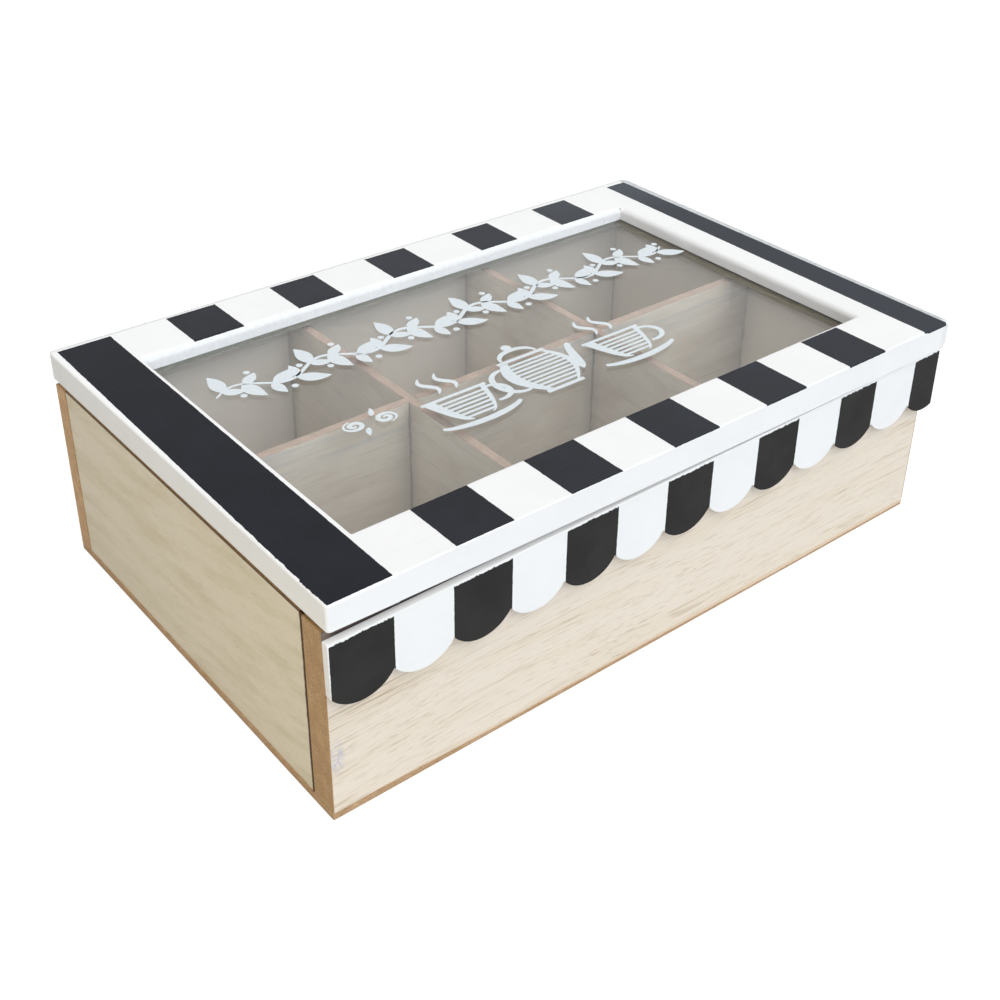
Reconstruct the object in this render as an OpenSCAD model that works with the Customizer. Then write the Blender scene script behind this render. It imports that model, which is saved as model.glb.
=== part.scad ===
// Tea box: a small wooden box with six compartments, a glazed lid on two stop hinges
// and a scalloped awning along its front. Millimetres, +Z up, the front faces -Y.
// The origin is on the underside, at the centre of the base board.

/* [Box] */
// Length of the box along X
box_l = 240; // [200:1:320]
// Depth of the box along Y
box_d = 154; // [130:1:200]
// Height of the wall tops above the table
wall_top = 63.5; // [55:0.5:90]
// Thickness of the base board
base_t = 2.5; // [2:0.5:5]
// Thickness of the front panel
front_t = 9; // [6:0.5:12]
// Thickness of the back panel
back_t = 6; // [6:0.5:12]
// Thickness of the two side panels
side_t = 6; // [5:0.5:12]
// How far the side panels stand in from the ends of the front and back panels
side_inset = 0.4; // [0.2:0.1:1]

/* [Dividers] */
// Thickness of the divider boards
divider_t = 3; // [2:0.5:5]
// How far the dividers stop below the wall tops
divider_drop = 0.2; // [0:0.2:12]
// How far the long divider stands behind the middle of the compartments
long_divider_shift = -1; // [-10:0.5:10]

/* [Lid] */
// Thickness of the lid frame
lid_t = 9; // [8:0.5:14]
// Width of the left stile and the front rail
member_w = 21.2; // [18:0.2:28]
// Width of the right stile and the back rail
wide_member_w = 23.4; // [18:0.2:28]
// How much longer the lid is than the box
lid_extra_l = 6; // [0:0.2:8]
// How far the lid sits to the right of the box's centre
lid_shift = 3; // [0:0.1:4]
// Overhang of the lid past the front panel
lid_front_over = 3; // [0:0.5:6]
// Overhang of the lid past the back panel
lid_back_over = 4.2; // [0.6:0.2:5]
// Radius of the lid's four outer corners
lid_corner_r = 1; // [0.5:0.5:4]
// Gap between the wall tops and the lid, filled by the folded hinge leaves
lid_gap = 0.9; // [0.9:0.1:1.6]
// Diameter of the dowels in the lid's corner joints
dowel_d = 4; // [3:0.5:4]
// Length of the dowels in the lid's corner joints
dowel_l = 20; // [12:1:24]

/* [Glass] */
// Thickness of the glass pane
glass_t = 2; // [1.5:0.5:3]
// Depth of the glass below the top of the lid
glass_drop = 4.6; // [3.5:0.1:5]
// How far the glass runs under the lid frame on each side
glass_lap = 5; // [3:0.5:6]
// How far the front and back glass beads stand back from the window
bead_setback = 2; // [0.5:0.5:2]

/* [Awning] */
// Thickness of the awning board
awning_t = 2.4; // [2:0.2:5]
// Length of the awning past the right end of the box
awning_over = 3; // [0:0.2:5]
// Gap between the top of the awning and the wall tops, at the awning's middle
awning_drop = 1.2; // [0.5:0.1:4]
// Angle in degrees by which the awning rises to the right
awning_tilt = 0.6; // [0:0.1:0.8]
// Height of the awning from its top to the tips of its tongues
awning_h = 22.4; // [16:0.2:30]
// Width of one tongue
tongue_w = 19.1; // [14:0.1:30]
// Depth of the rounded tip of a tongue
tongue_sag = 5; // [2:0.1:6]

/* [Hinges] */
// Distance of each hinge's middle from the end of the box
hinge_inset = 48; // [40:1:70]
// Width of a hinge along its pin
hinge_w = 20; // [16:1:26]
// Depth of each leaf on the wood
leaf_d = 5.6; // [5:0.1:6]
// Thickness of each leaf
leaf_t = 0.4; // [0.3:0.05:0.4]
// Outside radius of the knuckles
knuckle_r = 1.5; // [1.4:0.1:2]
// Radius of the hinge pin
pin_r = 0.75; // [0.6:0.05:0.8]
// Angle at which the stop heels of a hinge meet, in degrees
stop_angle = 107; // [95:1:112]

/* [Fasteners] */
// Shank radius of the hinge screws
screw_r = 0.8; // [0.6:0.1:0.9]
// Length of the hinge screws
screw_l = 7; // [4:0.5:7]
// Length of the brads in the base board
brad_l = 14; // [8:1:20]
// Distance of the corner brads from the end of the box
brad_inset = 25; // [15:1:40]

/* [Hidden] */
$fn = 64;

// Overshoot of a cut past the face it opens through
cut = 1;

// Box faces
end_x = box_l / 2;
front_y = -box_d / 2;
back_y = box_d / 2;
side_x = end_x - side_inset;
inner_x = side_x - side_t;
inner_front_y = front_y + front_t;
inner_back_y = back_y - back_t;

// Compartments and dividers
divider_top = wall_top - divider_drop;
divider_h = divider_top - base_t;
cell_l = (2 * inner_x - 2 * divider_t) / 3;
long_divider_y = (inner_front_y + inner_back_y) / 2 + long_divider_shift;
cross_divider_x = cell_l / 2 + divider_t / 2;
slot_play = 0.05;

// Lid outline and window
lid_left = -(box_l + lid_extra_l) / 2 + lid_shift;
lid_right = (box_l + lid_extra_l) / 2 + lid_shift;
lid_front = front_y - lid_front_over;
lid_back = back_y + lid_back_over;
lid_bottom = wall_top + lid_gap;
lid_top = lid_bottom + lid_t;
window_left = lid_left + member_w;
window_right = lid_right - wide_member_w;
window_front = lid_front + member_w;
window_back = lid_back - wide_member_w;

// Rebate, glass and beads under the lid frame
rebate_play = 0.3;
rebate_w = glass_lap + rebate_play;
glass_top = lid_top - glass_drop;
glass_bottom = glass_top - glass_t;
dowel_inset = 8;
dowel_z = lid_bottom + lid_t / 2;

// Awning outline
awning_top = wall_top - awning_drop;
awning_l = box_l + awning_over;
tongue_tip = awning_top - awning_h;
tongue_shoulder = tongue_tip + tongue_sag;
tongue_r = (tongue_w * tongue_w / 4 + tongue_sag * tongue_sag) / (2 * tongue_sag);
tongue_count = ceil(awning_l / tongue_w);

// Hinge axis, knuckles and stop heels
hinge_x = end_x - hinge_inset;
knuckle_gap = 0.25;
pin_y = lid_back + knuckle_gap + knuckle_r;
pin_z = wall_top + lid_gap / 2;
pin_play = 0.05;
knuckle_play = 0.2;
mid_knuckle_w = hinge_w * 0.46;
outer_knuckle_w = (hinge_w - mid_knuckle_w) / 2 - knuckle_play;
heel_t = 0.5;
heel_reach = 3.2;
heel_root_r = pin_r + 0.4;
heel_clear_r = knuckle_r + 0.15;
lid_heel_angle = 75;
box_heel_angle = lid_heel_angle - stop_angle;

// Screws and brads
screw_head_r = 1.4;
screw_head_h = 0.7;
screw_tip_h = 1.6;
screw_spacing = hinge_w * 0.6;
screw_slot_w = 0.35;
screw_slot_depth = 0.25;
box_screw_y = back_y - leaf_d / 2;
lid_screw_y = lid_back - leaf_d / 2;
brad_r = 0.7;
brad_head_r = 1.2;
brad_head_h = 0.8;
brad_tip_h = 1.4;
brad_recess = 0.2;
brad_front_y = front_y + front_t / 2;
brad_back_y = back_y - back_t / 2;
brad_corner_x = end_x - brad_inset;

// ---- helpers ----

// Box between two opposite corners
module block(low, high) {
    translate(low)
        cube(high - low);
}

// Cylinder along X, centred on x = 0
module bar_x(r, length) {
    rotate([0, 90, 0])
        cylinder(r = r, h = length, center = true);
}

// ---- box carcass ----

// One brad, driven up through the base board; its head sits in a small recess
module brad() {
    translate([0, 0, brad_recess])
        rotate_extrude()
            polygon([[0, 0], [brad_head_r, 0], [brad_head_r, brad_head_h], [brad_r, brad_head_h],
                [brad_r, brad_l - brad_tip_h], [0, brad_l]]);
}

// Places its children at every brad of the base board
module at_brads() {
    for (x = [-brad_corner_x, 0, brad_corner_x])
        for (y = [brad_front_y, brad_back_y])
            translate([x, y, 0])
                children();
    for (side = [-1, 1])
        translate([side * (inner_x + side_t / 2), 0, 0])
            children();
}

module base_brads() {
    color("silver")
        at_brads()
            brad();
}

// The room that each brad takes, open at the underside
module brad_holes() {
    at_brads() {
        brad();
        translate([0, 0, -cut])
            cylinder(r = brad_head_r, h = brad_recess + cut);
    }
}

module base_board() {
    color("peru")
        difference() {
            block([-end_x, front_y, 0], [end_x, back_y, base_t]);
            brad_holes();
        }
}

module front_panel() {
    color("linen")
        difference() {
            block([-end_x, front_y, base_t], [end_x, inner_front_y, wall_top]);
            brad_holes();
        }
}

module back_panel() {
    color("linen")
        difference() {
            block([-end_x, inner_back_y, base_t], [end_x, back_y, wall_top]);
            brad_holes();
            for (side = [-1, 1])
                hinge_screws(side, box_screw_y, false);
        }
}

module side_panel(side) {
    color("tan")
        difference() {
            scale([side, 1, 1])
                block([inner_x, inner_front_y, base_t], [side_x, inner_back_y, wall_top]);
            brad_holes();
        }
}

module left_panel() {
    side_panel(-1);
}

module right_panel() {
    side_panel(1);
}

// ---- dividers, halved into each other ----

module long_divider() {
    slot_half = divider_t / 2 + slot_play;
    color("tan")
        difference() {
            translate([0, long_divider_y, 0])
                block([-inner_x, -divider_t / 2, base_t], [inner_x, divider_t / 2, divider_top]);
            for (side = [-1, 1])
                translate([side * cross_divider_x, long_divider_y, 0])
                    block([-slot_half, -divider_t, base_t + divider_h / 2],
                        [slot_half, divider_t, divider_top + cut]);
        }
}

module cross_divider(side) {
    slot_half = divider_t / 2 + slot_play;
    color("tan")
        translate([side * cross_divider_x, 0, 0])
            difference() {
                block([-divider_t / 2, inner_front_y, base_t],
                    [divider_t / 2, inner_back_y, divider_top]);
                translate([0, long_divider_y, 0])
                    block([-divider_t, -slot_half, base_t - cut],
                        [divider_t, slot_half, base_t + divider_h / 2]);
            }
}

module left_cross_divider() {
    cross_divider(-1);
}

module right_cross_divider() {
    cross_divider(1);
}

// ---- awning ----

// The rounded tip of tongue i, as a slice of a circle between its two shoulders
module tongue_tip_shape(i) {
    intersection() {
        translate([(i + 0.5) * tongue_w, tongue_tip + tongue_r])
            circle(r = tongue_r);
        translate([i * tongue_w, tongue_tip])
            square([tongue_w, tongue_sag]);
    }
}

// Front view of the awning, from its left end at x = 0
module awning_shape() {
    intersection() {
        union() {
            for (i = [0 : tongue_count - 1])
                tongue_tip_shape(i);
            translate([0, tongue_shoulder])
                square([awning_l, awning_top - tongue_shoulder]);
        }
        translate([0, tongue_tip])
            square([awning_l, awning_h]);
    }
}

module scalloped_awning() {
    color("dimgray")
        translate([awning_l / 2 - end_x, front_y, awning_top])
            rotate([90, 0, 0])
                linear_extrude(height = awning_t)
                    rotate(awning_tilt)
                        translate([-awning_l / 2, -awning_top])
                            awning_shape();
}

// ---- hinges ----

// One countersunk screw pointing down, with the top of its head at z = 0
module screw(slotted) {
    difference() {
        rotate_extrude()
            polygon([[0, 0], [0, -screw_l], [screw_r, screw_tip_h - screw_l],
                [screw_r, -screw_head_h], [screw_head_r, 0]]);
        if (slotted)
            translate([-screw_head_r, -screw_slot_w / 2, -screw_slot_depth])
                cube([2 * screw_head_r, screw_slot_w, screw_slot_depth + cut]);
    }
}

// The two screws of a leaf that lies on a wall top, driven down
module hinge_screws(side, y, slotted) {
    for (along = [-0.5, 0.5])
        translate([side * hinge_x + along * screw_spacing, y, wall_top + leaf_t])
            screw(slotted);
}

// The same two screws turned over, driven up into the lid
module lid_hinge_screws(side, slotted) {
    for (along = [-0.5, 0.5])
        translate([side * hinge_x + along * screw_spacing, lid_screw_y, lid_bottom - leaf_t])
            rotate([180, 0, 0])
                screw(slotted);
}

// Places its children on the pin's axis, at the middle of one hinge
module at_hinge(side) {
    translate([side * hinge_x, pin_y, pin_z])
        children();
}

// Places its children at the two outer knuckles of a hinge
module at_outer_knuckles() {
    for (end = [-1, 1])
        translate([end * (hinge_w - outer_knuckle_w) / 2, 0, 0])
            children();
}

// A knuckle with the tongue that joins it to its leaf, before the pin bore is drilled
module knuckle(width, leaf_edge, tongue_low) {
    bar_x(knuckle_r, width);
    block([-width / 2, leaf_edge, tongue_low], [width / 2, -pin_r, tongue_low + leaf_t]);
}

// A stop heel: a small plate that stands out from the knuckles at an angle above +Y
module heel(width, angle, root_r, low) {
    rotate([angle, 0, 0])
        block([-width / 2, root_r, low], [width / 2, heel_reach, low + heel_t]);
}

module hinge_box_leaf(side) {
    color("gold")
        difference() {
            union() {
                translate([side * hinge_x, 0, 0])
                    block([-hinge_w / 2, back_y - leaf_d, wall_top],
                        [hinge_w / 2, back_y, wall_top + leaf_t]);
                at_hinge(side) {
                    at_outer_knuckles() {
                        knuckle(outer_knuckle_w, back_y - pin_y - cut, -lid_gap / 2);
                        heel(outer_knuckle_w, box_heel_angle, heel_root_r, -heel_t);
                    }
                    heel(hinge_w, box_heel_angle, heel_clear_r, -heel_t);
                }
            }
            at_hinge(side)
                bar_x(pin_r, hinge_w + 2 * cut);
            hinge_screws(side, box_screw_y, false);
        }
}

module hinge_lid_leaf(side) {
    color("gold")
        difference() {
            union() {
                translate([side * hinge_x, 0, 0])
                    block([-hinge_w / 2, lid_back - leaf_d, lid_bottom - leaf_t],
                        [hinge_w / 2, lid_back, lid_bottom]);
                at_hinge(side) {
                    knuckle(mid_knuckle_w, lid_back - pin_y - cut, lid_gap / 2 - leaf_t);
                    heel(mid_knuckle_w, lid_heel_angle, heel_root_r, 0);
                }
            }
            at_hinge(side)
                bar_x(pin_r + pin_play, hinge_w);
            lid_hinge_screws(side, false);
        }
}

module hinge_pin(side) {
    color("darkgoldenrod")
        at_hinge(side)
            bar_x(pin_r, hinge_w);
}

module left_hinge_box_leaf() {
    hinge_box_leaf(-1);
}

module right_hinge_box_leaf() {
    hinge_box_leaf(1);
}

module left_hinge_lid_leaf() {
    hinge_lid_leaf(-1);
}

module right_hinge_lid_leaf() {
    hinge_lid_leaf(1);
}

module left_hinge_pin() {
    hinge_pin(-1);
}

module right_hinge_pin() {
    hinge_pin(1);
}

module left_hinge_box_screws() {
    color("goldenrod")
        hinge_screws(-1, box_screw_y, true);
}

module right_hinge_box_screws() {
    color("goldenrod")
        hinge_screws(1, box_screw_y, true);
}

module left_hinge_lid_screws() {
    color("goldenrod")
        lid_hinge_screws(-1, true);
}

module right_hinge_lid_screws() {
    color("goldenrod")
        lid_hinge_screws(1, true);
}

// ---- lid frame ----

// Rectangle between two opposite corners
module plate(low, high) {
    translate(low)
        square(high - low);
}

// Plan of the lid, with its round outer corners
module lid_outline() {
    for (x = [lid_left + lid_corner_r, lid_right - lid_corner_r])
        for (y = [lid_front + lid_corner_r, lid_back - lid_corner_r])
            translate([x, y])
                circle(r = lid_corner_r);
    plate([lid_left + lid_corner_r, lid_front], [lid_right - lid_corner_r, lid_back]);
    plate([lid_left, lid_front + lid_corner_r], [lid_right, lid_back - lid_corner_r]);
}

// The room for the glass and its beads, open at the underside of the lid
module glass_rebate() {
    block([window_left - rebate_w, window_front - rebate_w, lid_bottom - cut],
        [window_right + rebate_w, window_back + rebate_w, glass_top]);
}

// The four dowels that join the rails to the stiles
module lid_dowel_shapes() {
    for (x = [window_left, window_right])
        for (y = [lid_front + dowel_inset, lid_back - dowel_inset])
            translate([x, y, dowel_z])
                bar_x(dowel_d / 2, dowel_l);
}

// The part of the lid frame between two X and two Y limits
module lid_member(x_low, x_high, y_low, y_high) {
    color("whitesmoke")
        difference() {
            translate([0, 0, lid_bottom])
                linear_extrude(height = lid_t)
                    intersection() {
                        lid_outline();
                        plate([x_low, y_low], [x_high, y_high]);
                    }
            glass_rebate();
            lid_dowel_shapes();
            for (side = [-1, 1])
                lid_hinge_screws(side, false);
        }
}

module lid_left_stile() {
    lid_member(lid_left, window_left, lid_front, lid_back);
}

module lid_right_stile() {
    lid_member(window_right, lid_right, lid_front, lid_back);
}

module lid_front_rail() {
    lid_member(window_left, window_right, lid_front, window_front);
}

module lid_back_rail() {
    lid_member(window_left, window_right, window_back, lid_back);
}

module lid_dowels() {
    color("burlywood")
        lid_dowel_shapes();
}

// ---- glass and its beads ----

module glass_pane() {
    color("lightcyan", 0.35)
        block([window_left - glass_lap, window_front - glass_lap, glass_bottom],
            [window_right + glass_lap, window_back + glass_lap, glass_top]);
}

// A strip of raw board that holds the glass up, between two X and two Y limits
module glass_bead(x_low, x_high, y_low, y_high) {
    color("sienna")
        block([x_low, y_low, lid_bottom], [x_high, y_high, glass_bottom]);
}

module left_glass_bead() {
    glass_bead(window_left - rebate_w, window_left,
        window_front - rebate_w, window_back + rebate_w);
}

module right_glass_bead() {
    glass_bead(window_right, window_right + rebate_w,
        window_front - rebate_w, window_back + rebate_w);
}

module front_glass_bead() {
    glass_bead(window_left, window_right,
        window_front - rebate_w, window_front - bead_setback);
}

module back_glass_bead() {
    glass_bead(window_left, window_right,
        window_back + bead_setback, window_back + rebate_w);
}

base_board();
front_panel();
back_panel();
left_panel();
right_panel();
long_divider();
left_cross_divider();
right_cross_divider();
scalloped_awning();
base_brads();
left_hinge_box_leaf();
right_hinge_box_leaf();
left_hinge_pin();
right_hinge_pin();
left_hinge_box_screws();
right_hinge_box_screws();
lid_left_stile();
lid_right_stile();
lid_front_rail();
lid_back_rail();
lid_dowels();
glass_pane();
front_glass_bead();
back_glass_bead();
left_glass_bead();
right_glass_bead();
left_hinge_lid_leaf();
right_hinge_lid_leaf();
left_hinge_lid_screws();
right_hinge_lid_screws();
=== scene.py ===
"""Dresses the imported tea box: a small wooden box with six compartments, a glazed lid in
black and white stripes, and a scalloped awning along its front. All lengths are metres."""

import logging
import math
from collections.abc import Iterable, Sequence
from dataclasses import dataclass, field, replace
from enum import Enum
from functools import cached_property, partial, reduce

import bmesh
import bpy
import numpy as np
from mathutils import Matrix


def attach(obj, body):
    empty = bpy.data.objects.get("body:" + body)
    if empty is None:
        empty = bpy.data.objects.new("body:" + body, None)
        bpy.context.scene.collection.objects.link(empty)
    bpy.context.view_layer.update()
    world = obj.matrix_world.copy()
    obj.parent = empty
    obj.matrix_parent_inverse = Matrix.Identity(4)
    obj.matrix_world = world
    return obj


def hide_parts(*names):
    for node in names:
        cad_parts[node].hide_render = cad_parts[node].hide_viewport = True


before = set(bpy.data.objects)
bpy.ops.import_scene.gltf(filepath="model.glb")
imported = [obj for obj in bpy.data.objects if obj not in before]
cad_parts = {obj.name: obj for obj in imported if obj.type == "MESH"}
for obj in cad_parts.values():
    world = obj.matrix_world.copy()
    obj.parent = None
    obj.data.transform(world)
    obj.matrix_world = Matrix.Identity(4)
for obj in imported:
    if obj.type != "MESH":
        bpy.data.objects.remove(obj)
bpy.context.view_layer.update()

log = logging.getLogger("tea_box")

MM = 0.001
PLAIN_SHINE = 0.5
SAME_POINT = 0.0005 * MM
WHITE = (1.0, 1.0, 1.0)

Colour = tuple[float, float, float]
Input = float | Sequence[float] | bpy.types.NodeSocket


class Axis(Enum):
    """An axis that a board's grain runs along, or that its thickness is measured on."""

    X = 0
    Y = 1


class Body(Enum):
    """The two bodies that pieces ride on."""

    BOX = "box"
    LID = "lid"


# ---- wiring of nodes ----


class Wiring:
    """Wires the nodes of one material or world. Each call adds nodes and returns an output."""

    def __init__(self, name: str, world: bool = False) -> None:
        """Starts an empty material or world.

        Args:
            name: its name.
            world: start a world rather than a material.
        """
        self.owner = (bpy.data.worlds if world else bpy.data.materials).new(name)
        self.owner.use_nodes = True
        self.tree = self.owner.node_tree
        self.tree.nodes.clear()

    @cached_property
    def place(self) -> bpy.types.NodeSocket:
        """The place on the object, in its own coordinates."""
        return self.add("ShaderNodeTexCoord").outputs["Object"]

    def feed(self, socket: bpy.types.NodeSocket, value: Input) -> None:
        """Links a socket to an output, or sets it to a plain value.

        Args:
            socket: the input socket.
            value: an output socket, a number, or a colour or vector.
        """
        if isinstance(value, bpy.types.NodeSocket):
            self.tree.links.new(value, socket)
        elif isinstance(value, (int, float)):
            socket.default_value = value
        else:
            size = len(socket.default_value)
            socket.default_value = (*value, 1.0)[:size]

    def add(
        self, kind: str, inputs: dict[int | str, Input] | None = None, **settings: object
    ) -> bpy.types.Node:
        """Adds one node.

        Args:
            kind: the node's class name.
            inputs: what goes into its sockets, by name or number.
            settings: the node's own properties.

        Returns:
            The node.
        """
        node = self.tree.nodes.new(kind)
        for key, setting in settings.items():
            setattr(node, key, setting)
        for key, value in (inputs or {}).items():
            self.feed(node.inputs[key], value)
        return node

    def math(self, operation: str, *values: Input) -> bpy.types.NodeSocket:
        """One step of arithmetic on numbers.

        Args:
            operation: the Math node's operation.
            values: its one to three inputs.

        Returns:
            The result.
        """
        return self.add("ShaderNodeMath", dict(enumerate(values)), operation=operation).outputs[0]

    def product(self, *values: Input) -> bpy.types.NodeSocket:
        """The product of some values, such as masks that all have to hold."""
        return reduce(partial(self.math, "MULTIPLY"), values)

    def total(self, *values: Input) -> bpy.types.NodeSocket:
        """The sum of some values."""
        return reduce(partial(self.math, "ADD"), values)

    def most(self, *values: Input) -> bpy.types.NodeSocket:
        """The largest of some values, such as masks of which one has to hold."""
        return reduce(partial(self.math, "MAXIMUM"), values)

    def lean(self, value: Input, slope: Input, start: Input) -> bpy.types.NodeSocket:
        """A straight line: the value times the slope, plus the start."""
        return self.math("MULTIPLY_ADD", value, slope, start)

    def far(self, value: Input, place: Input) -> bpy.types.NodeSocket:
        """How far a value lies from a place."""
        return self.math("ABSOLUTE", self.math("SUBTRACT", value, place))

    def vector(self, operation: str, first: Input, second: Input) -> bpy.types.NodeSocket:
        """One step of arithmetic on two vectors.

        Args:
            operation: the Vector Math node's operation.
            first: the left vector.
            second: the right vector.

        Returns:
            The resulting vector.
        """
        node = self.add("ShaderNodeVectorMath", {0: first, 1: second}, operation=operation)
        return node.outputs["Vector"]

    def split(self, vector: Input) -> tuple[bpy.types.NodeSocket, ...]:
        """The X, Y and Z parts of a vector."""
        return tuple(self.add("ShaderNodeSeparateXYZ", {0: vector}).outputs)

    def noise(
        self, vector: Input, scale: float, detail: float = 3.0, roughness: float = 0.55
    ) -> bpy.types.NodeSocket:
        """Smooth noise around 0.5.

        Args:
            vector: where the noise is read.
            scale: waves per metre, or per unit of the vector.
            detail: how many finer layers are added.
            roughness: how strong the finer layers are.

        Returns:
            The noise.
        """
        inputs = {"Vector": vector, "Scale": scale, "Detail": detail, "Roughness": roughness}
        return self.add("ShaderNodeTexNoise", inputs).outputs[0]

    def rise(
        self, value: Input, low: float, high: float, start: float = 0.0, end: float = 1.0
    ) -> bpy.types.NodeSocket:
        """A smooth step.

        Args:
            value: what is stepped.
            low: where the step begins.
            high: where the step ends.
            start: the result below low.
            end: the result above high.

        Returns:
            The stepped value.
        """
        inputs = {0: value, 1: low, 2: high, 3: start, 4: end}
        node = self.add("ShaderNodeMapRange", inputs, interpolation_type="SMOOTHSTEP")
        return node.outputs[0]

    def within(self, value: Input, low: float, high: float, soft: float) -> bpy.types.NodeSocket:
        """1 between two limits and 0 outside them, with soft edges.

        Args:
            value: what is tested.
            low: the lower limit.
            high: the upper limit.
            soft: the width of each edge.

        Returns:
            The mask.
        """
        above = self.rise(value, low - soft / 2, low + soft / 2)
        below = self.rise(value, high - soft / 2, high + soft / 2, 1.0, 0.0)
        return self.product(above, below)

    def past(self, value: Input, limit: Input) -> bpy.types.NodeSocket:
        """1 where the value passes the limit, with a thin soft edge."""
        return self.rise(self.math("SUBTRACT", value, limit), 0.0, 0.10 * MM)

    def mix(self, share: Input, first: Input, second: Input) -> bpy.types.NodeSocket:
        """A mix of two colours.

        Args:
            share: 0 for the first colour and 1 for the second.
            first: the first colour.
            second: the second colour.

        Returns:
            The mixed colour.
        """
        node = self.add("ShaderNodeMix", {0: share, 6: first, 7: second}, data_type="RGBA")
        return node.outputs[2]

    def relief(
        self, height: Input, depth: float, under: bpy.types.NodeSocket | None = None
    ) -> bpy.types.NodeSocket:
        """A bumped normal.

        Args:
            height: the height map, from 0 to 1.
            depth: how deep 0 lies below 1.
            under: a normal that this one is added to.

        Returns:
            The normal.
        """
        inputs: dict[int | str, Input] = {"Height": height, "Distance": depth}
        if under is not None:
            inputs["Normal"] = under
        return self.add("ShaderNodeBump", inputs).outputs["Normal"]

    def finish(self, **sockets: Input) -> bpy.types.Material:
        """Ends the material in one Principled shader.

        Args:
            sockets: its inputs, with an underscore for each space in a name.

        Returns:
            The material.
        """
        inputs = {key.replace("_", " "): value for key, value in sockets.items()}
        return self.end(self.add("ShaderNodeBsdfPrincipled", inputs).outputs[0])

    def end(self, surface: bpy.types.NodeSocket) -> bpy.types.Material:
        """Ends the material in a surface shader and returns it."""
        self.add("ShaderNodeOutputMaterial", {"Surface": surface})
        return self.owner

    def blend(self, share: Input, first: Input, second: Input) -> bpy.types.NodeSocket:
        """A mix of two shaders: the first where the share is 0, the second where it is 1."""
        return self.add("ShaderNodeMixShader", {0: share, 1: first, 2: second}).outputs[0]

    def diffuse(self, colour: Colour) -> bpy.types.NodeSocket:
        """A plain matt shader."""
        return self.add("ShaderNodeBsdfDiffuse", {"Color": colour}).outputs[0]

    def seen(self) -> bpy.types.NodeSocket:
        """1 for rays that show the backdrop itself: from the camera, a mirror or a pane."""
        path = self.add("ShaderNodeLightPath").outputs
        return self.most(*(path[f"Is {way} Ray"] for way in ("Camera", "Glossy", "Transmission")))


# ---- finishes ----


def toned(colour: Colour, factor: float) -> Colour:
    """A colour made darker or lighter by a factor."""
    return tuple(part * factor for part in colour)


@dataclass(frozen=True)
class Grain:
    """Sawn or planed wood with long streaks along one axis.

    Attributes:
        pale: the colour between the streaks.
        tan: the colour of the broad bands.
        streak: the colour of the fine streaks.
        along: the axis that the grain runs along.
        band: how strong the broad bands are, from 0 to 1.
        fine: how strong the fine streaks are, from 0 to 1.
        slant: how far the streaks drift sideways for each metre along.
    """

    pale: Colour
    tan: Colour
    streak: Colour
    along: Axis = Axis.X
    band: float = 0.6
    fine: float = 0.5
    slant: float = 0.0

    def drawn(
        self, wiring: Wiring, along: float, across: float, detail: float = 3.0,
        roughness: float = 0.55, place: Input | None = None,
    ) -> bpy.types.NodeSocket:
        """Noise that is drawn out along the grain.

        Args:
            wiring: the material that it goes into.
            along: waves per metre along the grain.
            across: waves per metre across it.
            detail: how many finer layers are added.
            roughness: how strong the finer layers are.
            place: where the noise is read, if not at the plain place.

        Returns:
            The noise.
        """
        factors = [across] * 3
        factors[self.along.value] = along
        stretched = wiring.vector("MULTIPLY", wiring.place if place is None else place, factors)
        return wiring.noise(stretched, 1.0, detail, roughness)

    def wire(self, wiring: Wiring) -> tuple[bpy.types.NodeSocket, bpy.types.NodeSocket]:
        """Wires the grain.

        Broad bands, streaks and pores are three noises, each drawn out along the grain, on a
        place that is shifted sideways a little by a slow noise so that the lines wave.

        Args:
            wiring: the material that it goes into.

        Returns:
            The colour, and the height of the surface.
        """
        slow = self.drawn(wiring, 9.0, 22.0, 1.0)
        wave = wiring.lean(slow, 11.0 * MM, -5.5 * MM)
        axes = wiring.split(wiring.place)
        drift = wiring.lean(axes[self.along.value], self.slant, wave)
        parts: list[Input] = [drift] * 3
        parts[self.along.value] = 0.0
        shift = wiring.add("ShaderNodeCombineXYZ", dict(enumerate(parts))).outputs[0]
        place = wiring.vector("ADD", wiring.place, shift)
        bands = self.drawn(wiring, 9.0, 190.0, place=place)
        streaks = self.drawn(wiring, 40.0, 1250.0, 3.0, 0.65, place)
        pores = self.drawn(wiring, 120.0, 2500.0, 2.0, place=place)
        broad = wiring.rise(bands, 0.38, 0.72, 0.0, self.band)
        colour = wiring.mix(broad, self.pale, self.tan)
        lines = wiring.rise(streaks, 0.52, 0.72, 0.0, self.fine)
        lines = wiring.product(lines, wiring.rise(bands, 0.30, 0.62, 0.35, 1.0))
        colour = wiring.mix(lines, colour, self.streak)
        specks = wiring.rise(pores, 0.57, 0.72, 0.0, self.fine * 0.6)
        colour = wiring.mix(specks, colour, self.streak)
        return colour, wiring.lean(streaks, -0.6, pores)


@dataclass(frozen=True)
class Fibre:
    """The raw sawn edge of fibreboard.

    Attributes:
        base: its main colour.
        dark: the colour of its darker fibres.
        light: the colour of its lighter fibres.
    """

    base: Colour = (0.485, 0.283, 0.120)
    dark: Colour = (0.29, 0.158, 0.062)
    light: Colour = (0.58, 0.365, 0.17)

    def wire(self, wiring: Wiring) -> tuple[bpy.types.NodeSocket, bpy.types.NodeSocket]:
        """Wires the fibres: fine mottle of two noises.

        Args:
            wiring: the material that it goes into.

        Returns:
            The colour, and the height of the surface.
        """
        coarse = wiring.noise(wiring.place, 240.0, 4.0, 0.65)
        fine = wiring.noise(wiring.place, 1900.0, 2.0, 0.6)
        colour = wiring.mix(wiring.rise(coarse, 0.42, 0.70), self.base, self.light)
        colour = wiring.mix(wiring.rise(fine, 0.48, 0.68, 0.0, 0.80), colour, self.dark)
        return colour, wiring.total(coarse, fine)


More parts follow.
